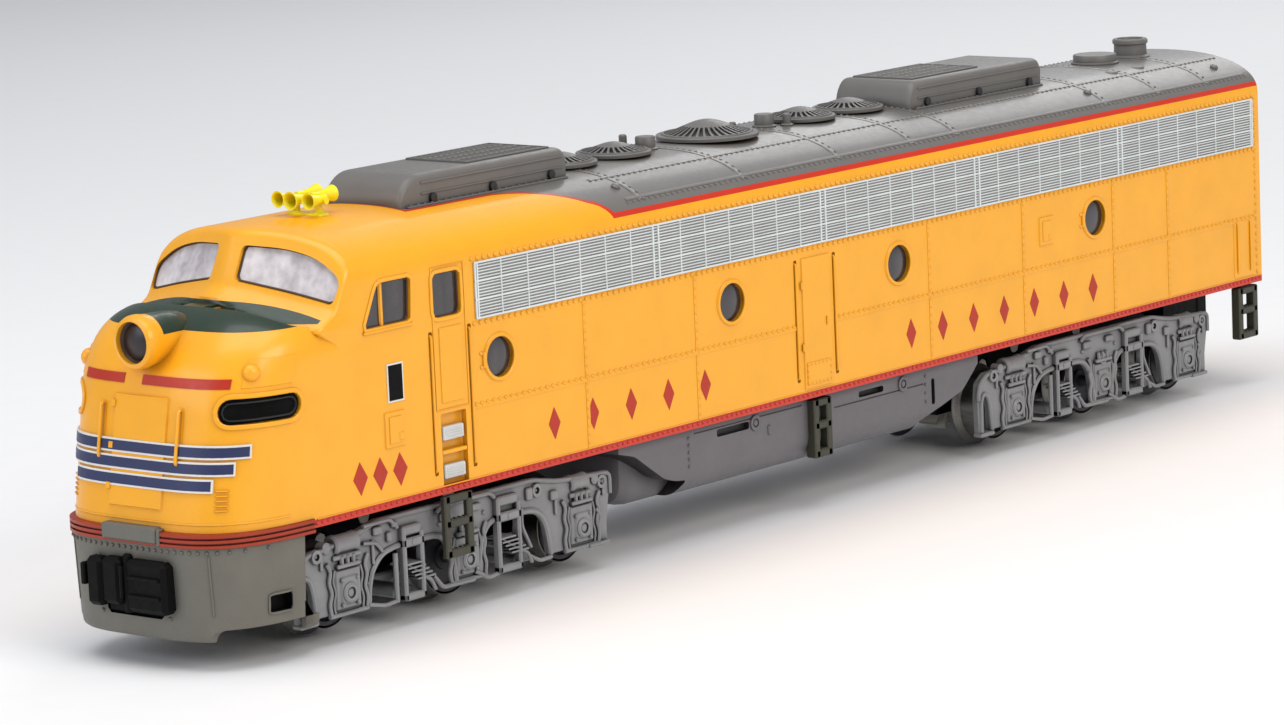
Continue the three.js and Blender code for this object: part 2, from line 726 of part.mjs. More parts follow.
// Centres and phases of the gears from the worm gear down to one driven axle.
function gearTrain(end) {
  const step = 2 * GEAR_RADIUS;
  const first = {
    y: step * Math.cos(FIRST_IDLER_DROP),
    z: WORM_GEAR_Z - step * Math.sin(FIRST_IDLER_DROP),
  };
  const last = GEAR_RADIUS + AXLE_GEAR_RADIUS;
  const across = AXLE_PITCH - first.y;
  const down = AXLE_Z - first.z;
  const span = Math.hypot(across, down);
  const along = (step ** 2 - last ** 2 + span ** 2) / (2 * span);
  const lift = Math.sqrt(step ** 2 - along ** 2);
  const second = {
    y: first.y + (along * across - lift * down) / span,
    z: first.z + (along * down + lift * across) / span,
  };
  const axle = { y: AXLE_PITCH, z: AXLE_Z, teeth: AXLE_GEAR_TEETH };
  const chain = [{ ...first, teeth: GEAR_TEETH }, { ...second, teeth: GEAR_TEETH }, axle];
  let before = WORM_GEAR;
  return chain.map((gear) => {
    const placed = { ...gear, y: end * gear.y };
    const direction = Math.atan2(placed.z - before.z, placed.y - before.y);
    placed.phase = meshedPhase(before.teeth, before.phase, placed.teeth, direction);
    before = placed;
    return placed;
  });
}

const CASE = { inner: 1.35, outer: 2.25, bottom: 2.25 };

function spurGear(gear, half) {
  const wheel = prism("x", gearOutline(gear.teeth, gear.y, gear.z, gear.phase), -half, half);
  return join(wheel, rod("x", gear.y, gear.z, 0.6, 0.1 - CASE.outer, CASE.outer - 0.1, 8));
}

// Two wheels on one axle. The profile runs from one needle end to the other.
function wheelset(y, gear) {
  const half = [
    [0, 6.95],
    [0.5, 5.65],
    [2.3, 5.65],
    [2.5, 5.95],
    [WHEEL_RADIUS - 0.05, 5.95],
    [WHEEL_RADIUS, 4.4],
    [WHEEL_RADIUS + FLANGE_DEPTH, 4.05],
    [WHEEL_RADIUS + 0.1, 3.75],
    [SHAFT_RADIUS, 3.75],
  ];
  const profile = [...half.map(([r, x]) => [r, -x]), ...half.slice().reverse()];
  const wheels = turned("x", profile, 16).rotateX(Math.PI / 2).translate(0, y, AXLE_Z);
  if (!gear) return wheels;
  return join(solid(wheels), prism("x", gearOutline(gear.teeth, y, AXLE_Z, gear.phase), -1, 1));
}

// Both side frames of a truck, with the cross bars and the plate that close its gear case below.
function truckFrame() {
  const inner = 7.3;
  const outer = 8.3;
  const outline = [
    [-18.1, 1.3],
    [16.4, 1.3],
    [16.4, 5.6],
    [12, 6.7],
    [7, 7.5],
    [-7, 7.5],
    [-12, 6.7],
    [-18.1, 5.8],
  ];
  const opening = [
    [3.4, 2],
    [10.2, 2],
    [10, 4.6],
    [8.6, 5.6],
    [6.2, 5.4],
  ];
  const side = (sign) => {
    const plate = prism("x", outline, sign * inner, sign * outer);
    const openings = Object.values(TRUCK_ENDS).map((end) =>
      prism("x", opening.map(([y, z]) => [end * y, z]), sign * (inner - 1), sign * (outer + 1)),
    );
    const journals = [-AXLE_PITCH, 0, AXLE_PITCH].map((y) =>
      rod("x", y, AXLE_Z, 0.95, sign * inner, sign * (outer + 0.2), 12),
    );
    const cylinders = [[-15, -11.4], [9.6, 13.2]].map(([from, to]) =>
      rod("y", sign * 7.6, 6.1, 0.9, from, to, 8),
    );
    return join(cut(plate, ...openings), ...journals, ...cylinders);
  };
  const bars = Object.values(TRUCK_ENDS).map((end) => {
    const y = (end * AXLE_PITCH) / 2;
    return block(-inner - 0.4, inner + 0.4, y - 1.1, y + 1.1, 1.3, 1.95);
  });
  const plate = block(-2.6, 2.6, -9.8, 9.8, 1.3, 1.95);
  return join(side(1), side(-1), ...bars, plate);
}

// The gear case: two walls that carry the gear pins, closed at the ends and under a round collar
// that turns in the chassis.
function gearCase(trains) {
  const { inner, outer, bottom } = CASE;
  const end = 16.2;
  const half = [
    [end, bottom],
    [end, 5.4],
    [11.6, 8],
    [0, 8],
  ];
  const outline = [...half, ...half.slice().reverse().slice(1).map(([y, z]) => [-y, z])];
  const walls = prism("x", outline, -outer, outer);
  const collar = rod("z", 0, 0, 4.2, 7.6, 9.25, 16);
  const room = block(-inner, inner, 0.8 - end, end - 0.8, 0, 12);
  const gears = [WORM_GEAR, ...trains.flatMap((train) => train.slice(0, 2))];
  const pins = gears.map(({ y, z }) => rod("x", y, z, 0.75, -9, 9, 8));
  const axles = [-AXLE_PITCH, 0, AXLE_PITCH].flatMap((y) => [
    block(-9, 9, y - 0.95, y + 0.95, 0, AXLE_Z),
    rod("x", y, AXLE_Z, 0.95, -9, 9, 12),
  ]);
  return cut(join(walls, collar), room, ...pins, ...axles);
}

function addTruck(parent, label, end) {
  const truck = new THREE.Group();
  truck.position.y = end * TRUCK_Y;
  parent.add(truck);
  const trains = { fore: gearTrain(-1), aft: gearTrain(1) };
  put(truck, `${label}_truck_frame`, truckFrame(), "truckGrey");
  put(truck, `${label}_gear_case`, gearCase(Object.values(trains)), "black");
  put(truck, `${label}_worm_gear`, spurGear(WORM_GEAR, 0.6), "nylon");
  for (const [where, [first, second, axle]] of Object.entries(trains)) {
    put(truck, `${label}_${where}_upper_idler`, spurGear(first, 1), "nylon");
    put(truck, `${label}_${where}_lower_idler`, spurGear(second, 1), "nylon");
    put(truck, `${label}_${where}_wheelset`, wheelset(axle.y, axle), "steel");
  }
  put(truck, `${label}_middle_wheelset`, wheelset(0, null), "steel");
}

// ---- Assembly ----
const locomotive = new THREE.Group();
const model = new THREE.Group();
model.position.set(0, MID_TO_CENTRE, FLANGE_DEPTH);
locomotive.add(model);

put(model, "body_shell", bodyShell(), "yellow");
put(model, "windshield_glazing", windshieldGlazing(), "clear");
put(model, "headlight_lens", rod("y", 0, HEADLIGHT.z, 1.2, -65.7, -64.6), "clear");
put(model, "air_horn", airHorn(), "horn");
put(model, "steam_stack", steamStack(), "grey");
put(model, "pilot", pilot(), "olive");
put(model, "front_coupler", frontCoupler(), "black");
put(model, "rear_coupler", rearCoupler(), "black");
put(model, "coupler_pocket", couplerPocket(), "black");
put(model, "fuel_tank", fuelTank(), "tankGrey");
put(model, "motor_can", motorCan(), "steel");
put(model, "motor_armature", armature(), "steel");
put(model, "light_board", slab(LIGHT_BOARD), "board");
put(model, "light_pipe", slab(LIGHT_PIPE), "clear");

for (const [label, ends] of Object.entries(ROOF_HATCHES)) {
  put(model, `roof_hatch_${label}`, roofHatch(ends), "grey");
}
for (const [index, fan] of ROOF_FANS.entries()) {
  put(model, `roof_fan_${index + 1}`, roofFan(fan), "grey");
}
for (const [name, side] of Object.entries(SIDES)) {
  put(model, `side_glazing_${name}`, sideGlazing(side), "clear");
  const { length, height } = NUMBER_BOARD;
  put(model, `number_board_${name}`, turnedBlock(side, length, height, -0.1, -0.9), "black");
  put(model, `chassis_${name}`, chassisHalf(side), "cast");
  for (const [place, size] of Object.entries(STEPS)) {
    put(model, `${place}_steps_${name}`, sideSteps(side, size), "olive");
  }
}
for (const [label, end] of Object.entries(TRUCK_ENDS)) {
  put(model, `flywheel_${label}`, flywheel(end), "brass");
  put(model, `worm_shaft_${label}`, wormShaft(end), "steel");
  put(model, `chassis_screw_${label}`, chassisScrew(SCREWS[label]), "steel");
  addTruck(model, label, end);
}

export default locomotive;
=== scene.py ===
"""Looks for a 1:160 model of a streamlined passenger diesel locomotive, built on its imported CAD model.

Shapes are drawn in millimetres in rail coordinates: X across, Y along with the nose towards -Y,
Z above the rail, and Y = 0 midway between the two trucks. ORIGIN carries them into the frame.
"""
import math

import bmesh
import bpy
import numpy as np
from mathutils import Matrix, Vector


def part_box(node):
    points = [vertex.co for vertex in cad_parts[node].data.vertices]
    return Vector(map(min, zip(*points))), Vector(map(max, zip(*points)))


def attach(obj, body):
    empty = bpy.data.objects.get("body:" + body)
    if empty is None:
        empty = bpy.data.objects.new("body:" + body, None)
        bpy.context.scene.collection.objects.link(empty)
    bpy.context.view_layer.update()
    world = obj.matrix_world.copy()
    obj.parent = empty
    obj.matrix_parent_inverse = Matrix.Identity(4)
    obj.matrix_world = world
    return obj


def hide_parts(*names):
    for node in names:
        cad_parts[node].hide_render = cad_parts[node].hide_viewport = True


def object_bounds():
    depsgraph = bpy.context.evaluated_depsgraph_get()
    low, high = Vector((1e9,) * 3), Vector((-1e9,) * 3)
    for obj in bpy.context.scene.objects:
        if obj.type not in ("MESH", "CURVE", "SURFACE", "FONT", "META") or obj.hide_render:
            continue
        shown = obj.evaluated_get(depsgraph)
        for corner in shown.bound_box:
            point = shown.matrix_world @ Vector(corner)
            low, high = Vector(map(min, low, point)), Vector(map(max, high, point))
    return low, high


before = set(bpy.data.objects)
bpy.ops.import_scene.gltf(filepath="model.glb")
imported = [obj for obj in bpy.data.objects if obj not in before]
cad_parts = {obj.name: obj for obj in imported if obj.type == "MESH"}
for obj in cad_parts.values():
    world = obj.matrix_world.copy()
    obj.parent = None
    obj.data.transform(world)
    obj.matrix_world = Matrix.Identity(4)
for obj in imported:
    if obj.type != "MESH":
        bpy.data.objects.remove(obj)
CAD_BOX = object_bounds()

# ---- Driving dimensions, in millimetres ----
MM = 0.001
WHEEL_RADIUS = 2.86
SIDES = {"left": 1, "right": -1}
HALF_WIDTH = 9.35
WALL = 0.9
SILL_Z = 8.45
SHOULDER_Z = 25.2
ROOF_RISE = 3.5
ROOF_POWER = 2.3
REAR_Y = 64.1
NOSE_ROOT_Y = -55.0
NOSE_DEPTH = 11.9
NOSE_POWER = 3.8
NOSE_LEAN = 0.18
NOSE_TOP = {"cheek": 22.75, "rise": 1.35}
BELT_Z = 14.4
GRILLE = {"front": -40.4, "rear": 63.0, "bottom": 20.65, "top": 24.7}
PORTHOLES = {"z": 17.5, "radius": 1.5, "at": (-37.95, -10.8, 10.7, 38.4)}
HEADLIGHT_Z = 22.1
NUMBER_BOARD = {"z": 17.45, "from": 6.55, "to": 9.28, "half": 0.9}
AXLE_PITCH = 12.95
COUPLER_Z = 5.3
ANTICLIMBER = {"half": 9.55, "depth": 12.3, "end": -58.4, "bottom": 8.1, "top": 9.2}


ENDS = ("front", "rear")
AXLE = {end: sum(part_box(f"{end}_middle_wheelset"), Vector()) / 2 for end in ENDS}
ORIGIN = (AXLE["front"] + AXLE["rear"]) / 2 - Vector((0, 0, WHEEL_RADIUS * MM))
TRUCK_Y = (AXLE["rear"].y - AXLE["front"].y) / 2 / MM


def rail_box(node):
    """A CAD node's box in rail millimetres: lowest and highest corners."""
    return [(corner - ORIGIN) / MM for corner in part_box(node)]


# ---- Shapes: each is (points, faces), closed ----
def ring_faces(rings, size, wrap=False):
    """Quads between rings of points, and a cap on each end unless the rings wrap round."""
    faces = []
    count = rings if wrap else rings - 1
    for ring in range(count):
        low, high = ring * size, (ring + 1) % rings * size
        for i in range(size):
            j = (i + 1) % size
            faces.append((low + i, low + j, high + j, high + i))
    if not wrap:
        faces.append(tuple(range(size))[::-1])
        faces.append(tuple((rings - 1) * size + i for i in range(size)))
    return faces


def loft(rings, wrap=False):
    points = [p for ring in rings for p in ring]
    return points, ring_faces(len(rings), len(rings[0]), wrap)


def inset(outline, distance):
    """A closed outline moved inwards by a distance, with mitred corners."""
    points = np.array(outline, float)
    following = np.roll(points, -1, 0)
    area = np.sum(points[:, 0] * following[:, 1] - following[:, 0] * points[:, 1])
    edge = following - points
    edge /= np.linalg.norm(edge, axis=1)[:, None]
    inward = np.stack([-edge[:, 1], edge[:, 0]], 1) * np.sign(area)
    before = np.roll(inward, 1, 0)
    spread = np.maximum(1 + np.sum(inward * before, 1), 0.4)[:, None]
    return points + distance * (inward + before) / spread


def on_axis(axis, u, v, w):
    """A point w along an axis and (u, v) across it: (y, z), (x, z) or (x, y)."""
    return {"x": (w, u, v), "y": (u, w, v), "z": (u, v, w)}[axis]


def prism(axis, outline, a, b, bevel=0.0):
    """An outline extruded from a to b, with its end edges chamfered."""
    step = math.copysign(bevel, b - a)
    levels = [(0, a), (0, b)]
    if bevel:
        levels = [(bevel, a), (0, a + step), (0, b - step), (bevel, b)]
    return loft([[on_axis(axis, u, v, w) for u, v in inset(outline, d)] for d, w in levels])


def rectangle(u0, u1, v0, v1):
    return [(u0, v0), (u1, v0), (u1, v1), (u0, v1)]


def corner_curve(before, corner, after, radius, shares):
    """Points on the short curve that softens one corner of a path."""
    start = corner + (before - corner) * min(0.49, radius / np.linalg.norm(before - corner))
    end = corner + (after - corner) * min(0.49, radius / np.linalg.norm(after - corner))
    return [(1 - t) ** 2 * start + 2 * t * (1 - t) * corner + t * t * end for t in shares]


def rounded(outline, radius, count=4):
    """A closed outline with each corner softened, by one radius or by one for each corner."""
    points = np.array(outline, float)
    shares = [k / count for k in range(count + 1)]
    out = []
    for i, corner in enumerate(points):
        r = radius[i] if isinstance(radius, (list, tuple)) else radius
        out += corner_curve(points[i - 1], corner, points[(i + 1) % len(points)], r, shares)
    return out


def bent(path, radius=0.15):
    """An open path with its corners softened."""
    points = [np.array(p, float) for p in path]
    out = [points[0]]
    for before, corner, after in zip(points, points[1:], points[2:]):
        out += corner_curve(before, corner, after, radius, (0, 0.33, 0.67, 1))
    return out + [points[-1]]


def box(x0, x1, y0, y1, z0, z1, bevel=0.06):
    """A block with all its edges chamfered."""
    low, high = np.minimum((x0, y0, z0), (x1, y1, z1)), np.maximum((x0, y0, z0), (x1, y1, z1))
    bevel = min(bevel, 0.45 * float(np.min(high - low)))
    points = []
    for corner in range(8):
        bits = [corner >> axis & 1 for axis in range(3)]
        for full in range(3):
            inner = [bevel if axis != full else 0 for axis in range(3)]
            points.append(tuple(high[k] - inner[k] if bits[k] else low[k] + inner[k] for k in range(3)))
    faces = [tuple(3 * corner + k for k in range(3)) for corner in range(8)]
    for axis in range(3):
        b, c = (axis + 1) % 3, (axis + 2) % 3
        for bit in (0, 1):
            ring = [bit << axis, bit << axis | 1 << b, bit << axis | 1 << b | 1 << c, bit << axis | 1 << c]
            faces.append(tuple(3 * corner + axis for corner in ring))
            other = 1 << axis
            for side in (0, 1):
                near = bit << b | side << c
                faces.append((3 * near + b, 3 * (near | other) + b, 3 * (near | other) + c, 3 * near + c))
    return points, faces


def lathe(axis, middle, profile, sides=32):
    """A turned shape: (radius, distance) pairs from end to end, or a closed loop clear of the axis."""
    loop = profile[0] == profile[-1]
    rows = profile[:-1] if loop else profile
    points, starts = [], []
    basis = {"x": (1, 2, 0), "y": (0, 2, 1), "z": (0, 1, 2)}[axis]
    for radius, distance in rows:
        starts.append(len(points))
        for i in range(sides if radius > 0 else 1):
            angle = 2 * math.pi * i / sides
            place = [0, 0, 0]
            place[basis[0]] = radius * math.cos(angle)
            place[basis[1]] = radius * math.sin(angle)
            place[basis[2]] = distance
            points.append(tuple(np.add(place, middle)))
    faces = []
    for k in range(len(rows) if loop else len(rows) - 1):
        n = (k + 1) % len(rows)
        for i in range(sides):
            j = (i + 1) % sides
            spots = ((k, i), (k, j), (n, j), (n, i))
            corners = [starts[row] + (spot if rows[row][0] > 0 else 0) for row, spot in spots]
            faces.append(tuple(dict.fromkeys(corners)))
    for k, row in ((0, rows[0]), (-1, rows[-1])):
        if not loop and row[0] > 0:
            faces.append(tuple(starts[k] + i for i in range(sides)))
    return points, [f for f in faces if len(f) > 2]


def frames(path, closed=False):
    """Direction along a path at each of its points."""
    path = np.array(path, float)
    if closed:
        along = np.roll(path, -1, 0) - np.roll(path, 1, 0)
    else:
        along = np.gradient(path, axis=0)
    return along / np.linalg.norm(along, axis=1)[:, None]


def tube(path, radius, sides=8, closed=False):
    """A round wire along a path of points."""
    along = frames(path, closed)
    guide = np.array((0.31, 0.47, 0.83))
    rings = []
    across = np.cross(along[0], guide)
    for point, direction in zip(np.array(path, float), along):
        across = across - direction * np.dot(across, direction)
        across /= np.linalg.norm(across)
        other = np.cross(direction, across)
        turn = [2 * math.pi * i / sides for i in range(sides)]
        rings.append([tuple(point + radius * (math.cos(a) * across + math.sin(a) * other)) for a in turn])
    return loft(rings, wrap=closed)


def sampled(path, pitch, closed=False):
    """Evenly spaced points along a path, or its own points when there is no pitch."""
    if pitch is None:
        return [list(point) for point in path]
    path = np.array(path, float)
    if closed:
        path = np.vstack([path, path[:1]])
    lengths = np.concatenate([[0], np.cumsum(np.linalg.norm(np.diff(path, axis=0), axis=1))])
    count = max(1, round(lengths[-1] / pitch))
    at = np.linspace(0, lengths[-1], count + 1)
    if closed:
        at = at[:-1]
    return [[float(np.interp(a, lengths, path[:, k])) for k in range(path.shape[1])] for a in at]


# ---- The body's outer surfaces: each gives a point and its outward normal ----
def squared(value, power):
    """A signed power of 2/power, which turns a sine or cosine into a superellipse's coordinate."""
    return math.copysign(abs(value) ** (2 / power), value)


def with_normal(surface, u, v, step=0.02):
    point = np.array(surface(u, v))
    du = np.array(surface(u + step, v)) - np.array(surface(u - step, v))
    dv = np.array(surface(u, v + step)) - np.array(surface(u, v - step))
    normal = np.cross(du, dv)
    return point, normal / np.linalg.norm(normal)


def side_face(side, half=HALF_WIDTH):
    """A flat side, from (y, z): the body's, or one that stands another distance from the middle."""
    return lambda y, z: (np.array((side * half, y, z)), np.array((side, 0, 0)))


def rear_face(x, z):
    return np.array((x, REAR_Y, z)), np.array((0, 1, 0))


def arch(t, inset_by=0.0):
    """The roof's section in (x, z): t runs from 0 at the left shoulder over the crown to 1."""
    x = (HALF_WIDTH - inset_by) * squared(math.cos(math.pi * t), ROOF_POWER)
    z = SHOULDER_Z + (ROOF_RISE - inset_by) * squared(math.sin(math.pi * t), ROOF_POWER)
    return x, z


def roof_face(x, y):
    """The roof from above, from (x, y)."""
    def height(u, v):
        share = min(abs(u) / HALF_WIDTH, 0.9999) ** (ROOF_POWER / 2)
        rise = ROOF_RISE * (1 - share * share) ** (1 / ROOF_POWER)
        return (u, v, SHOULDER_Z + rise)
    return with_normal(height, x, y)


def nose_at(t, z, inset_by=0.0):
    """The nose at t round its plan, from 0 on the left cheek over 0.5 in front to 1, and height z."""
    front = math.sin(math.pi * t) ** 2
    top = NOSE_TOP["cheek"] + NOSE_TOP["rise"] * front - inset_by

    def rolled(height):
        share = min(max(1 - (top - z) / height, 0), 1)
        return 1 - math.sqrt(1 - share * share)

    half = HALF_WIDTH - inset_by - 1.6 * rolled(2.4)
    depth = NOSE_DEPTH - inset_by - NOSE_LEAN * (min(z, top) - SILL_Z) - 5.5 * rolled(5.8)
    x = half * squared(math.cos(math.pi * t), NOSE_POWER)
    y = NOSE_ROOT_Y - depth * squared(math.sin(math.pi * t), NOSE_POWER)
    return x, y, z


def nose_lengths():
    """Distance round the nose's plan from its front centre, for evenly spaced t."""
    t = np.linspace(0, 1, 801)
    plan = np.array([nose_at(a, NUMBER_BOARD["z"])[:2] for a in t])
    run = np.concatenate([[0], np.cumsum(np.linalg.norm(np.diff(plan, axis=0), axis=1))])
    return run[400] - run, t, plan[:, 0]


NOSE_RUN, NOSE_T, NOSE_X = nose_lengths()


def nose_face(s, z):
    """The nose from (s, z): s is measured round the plan from the front centre, towards +X."""
    def place(u, v):
        return nose_at(float(np.interp(-u, -NOSE_RUN, NOSE_T)), v)
    point, normal = with_normal(place, s, z)
    outwards = point - np.array((0, NOSE_ROOT_Y + 2, point[2]))
    return point, normal if np.dot(normal, outwards) > 0 else -normal


def nose_run(x):
    """How far round the nose's plan an x lies."""
    return float(np.interp(x, NOSE_X[::-1], NOSE_RUN[::-1]))


# ---- Details laid on a surface ----
def lifted(surface, path, height):
    return [tuple(p + n * height) for p, n in (surface(u, v) for u, v in path)]


def strip(surface, path, width, height, pitch=0.8, closed=False, sunk=0.06):
    """A raised flat bead that follows a path on a surface."""
    spots = [surface(u, v) for u, v in sampled(path, pitch, closed)]
    points = np.array([p for p, _ in spots])
    along = frames(points, closed)
    left = [(-0.5, -sunk), (-0.5, 0.6 * height), (-0.32, height)]
    section = left + [(-a, b) for a, b in left[::-1]]
    rings = []
    for (point, normal), direction in zip(spots, along):
        across = np.cross(normal, direction)
        across /= np.linalg.norm(across)
        rings.append([tuple(point + across * width * a + normal * b) for a, b in section])
    return loft(rings, wrap=closed)


def patch(surface, u0, u1, v0, v1, height, edge=0.12, pitch=0.7, sunk=0.1):
    """A raised panel over a rectangle of a surface, with sloping edges."""
    us = np.linspace(u0, u1, max(2, round(abs(u1 - u0) / pitch)) + 1)
    vs = np.linspace(v0, v1, max(2, round(abs(v1 - v0) / pitch)) + 1)

    def sheet(height_at, shrink):
        mid_u, mid_v = (u0 + u1) / 2, (v0 + v1) / 2
        scale_u = 1 - 2 * shrink / abs(u1 - u0)
        scale_v = 1 - 2 * shrink / abs(v1 - v0)
        path = [(mid_u + (u - mid_u) * scale_u, mid_v + (v - mid_v) * scale_v) for u in us for v in vs]
        return lifted(surface, path, height_at)

    rows, columns = len(us), len(vs)
    points = sheet(height, edge) + sheet(-sunk, 0)
    bottom = rows * columns
    faces = []
    for i in range(rows - 1):
        for j in range(columns - 1):
            quad = (i * columns + j, i * columns + j + 1, (i + 1) * columns + j + 1, (i + 1) * columns + j)
            faces += [quad, tuple(bottom + k for k in quad[::-1])]
    rim = list(range(columns))
    rim += [i * columns + columns - 1 for i in range(1, rows)]
    rim += [(rows - 1) * columns + j for j in range(columns - 2, -1, -1)]
    rim += [i * columns for i in range(rows - 2, 0, -1)]
    for a, b in zip(rim, rim[1:] + rim[:1]):
        faces.append((a, b, bottom + b, bottom + a))
    return points, faces


def across_of(normal, guide):
    """Two directions square to a normal and to each other."""
    across = np.cross(normal, guide)
    across /= np.linalg.norm(across)
    return across, np.cross(normal, across)


def dome(point, normal, radius, height, sides=6):
    """A rivet head."""
    normal = np.array(normal, float)
    across, other = across_of(normal, (0.3, 0.9, 0.2))
    points = []
    for share, level in ((1, -0.05), (1, 0.25 * height), (0.62, 0.85 * height)):
        for i in range(sides):
            a = 2 * math.pi * i / sides
            out = math.cos(a) * across + math.sin(a) * other
            points.append(tuple(point + normal * level + radius * share * out))
    points.append(tuple(np.array(point) + normal * height))
    faces = [tuple(range(sides))]
    for ring in range(2):
        for i in range(sides):
            j = (i + 1) % sides
            faces.append((ring * sides + i, ring * sides + j, (ring + 1) * sides + j, (ring + 1) * sides + i))
    top = 2 * sides
    faces += [(top + i, top + (i + 1) % sides, top + sides) for i in range(sides)]
    return points, faces


RIVET = {"radius": 0.165, "height": 0.14, "pitch": 0.66}


def mirrored(shape):
    """A shape on the other side of the locomotive."""
    points, faces = shape
    return [(-x, y, z) for x, y, z in points], faces


def moved(shape, along):
    """A shape shifted along the locomotive."""
    points, faces = shape
    return [(x, y + along, z) for x, y, z in points], faces


class Piece:
    """Closed shapes gathered in rail millimetres, which become one object in the frame."""

    def __init__(self, name, *materials):
        self.name = name
        self.materials = materials
        self.points, self.faces, self.slots = [], [], []

    def add(self, *shapes, slot=0):
        for points, faces in shapes:
            base = len(self.points)
            self.points += [tuple(p) for p in points]
            self.faces += [tuple(base + i for i in face) for face in faces]
            self.slots += [slot] * len(faces)
        return self

    def rivets(self, surface, path, pitch=RIVET["pitch"], slot=0, closed=False, size=1.0):
        for u, v in sampled(path, pitch, closed):
            point, normal = surface(u, v)
            self.add(dome(point, normal, RIVET["radius"] * size, RIVET["height"] * size), slot=slot)
        return self

    def mesh_object(self, angle=32):
        mesh = bpy.data.meshes.new(self.name)
        places = [tuple(ORIGIN + Vector(p) * MM) for p in self.points]
        mesh.from_pydata(places, [], self.faces)
        for material in self.materials:
            mesh.materials.append(material)
        mesh.polygons.foreach_set("material_index", self.slots)
        work = bmesh.new()
        work.from_mesh(mesh)
        bmesh.ops.recalc_face_normals(work, faces=work.faces)
        work.to_mesh(mesh)
        work.free()
        smooth(mesh, angle)
        made = bpy.data.objects.new(self.name, mesh)
        bpy.context.scene.collection.objects.link(made)
        return made

    def finish(self, body, *nodes, slot=None, angle=32):
        made = self.mesh_object(angle)
        settle(made, body, *nodes, slot=slot)


def smooth(mesh, angle):
    mesh.polygons.foreach_set("use_smooth", [True] * len(mesh.polygons))
    mesh.set_sharp_from_angle(angle=math.radians(angle))


def settle(made, body, *nodes, slot=None):
    """Rides a finished object on its body, in place of CAD nodes, which it hides."""
    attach(made, body)
    if nodes:
        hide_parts(*nodes)


def carved(base, *steps):
    """Joins, cuts and intersects solids: steps are (operation, Piece) pairs."""
    made = base.mesh_object()
    for operation, tool in steps:
        cutter = tool.mesh_object()
        modifier = made.modifiers.new(operation, "BOOLEAN")
        modifier.operation = operation
        modifier.solver = "MANIFOLD"
        modifier.object = cutter
        applied = made.evaluated_get(bpy.context.evaluated_depsgraph_get())
        result = bpy.data.meshes.new_from_object(applied)
        made.modifiers.clear()
        old, made.data = made.data, result
        bpy.data.meshes.remove(old)
        bpy.data.objects.remove(cutter)
    return made


def joined(target, other):
    """Merges one object into another, keeping the target's materials."""
    work = bmesh.new()
    work.from_mesh(target.data)
    work.from_mesh(other.data)
    bpy.data.objects.remove(other)
    work.to_mesh(target.data)
    work.free()


# ---- Materials ----
def colour(code):
    """A linear colour from an sRGB hex code."""
    parts = [int(code[i : i + 2], 16) / 255 for i in (0, 2, 4)]
    linear = [c / 12.92 if c <= 0.04045 else ((c + 0.055) / 1.055) ** 2.4 for c in parts]
    return (*linear, 1.0)


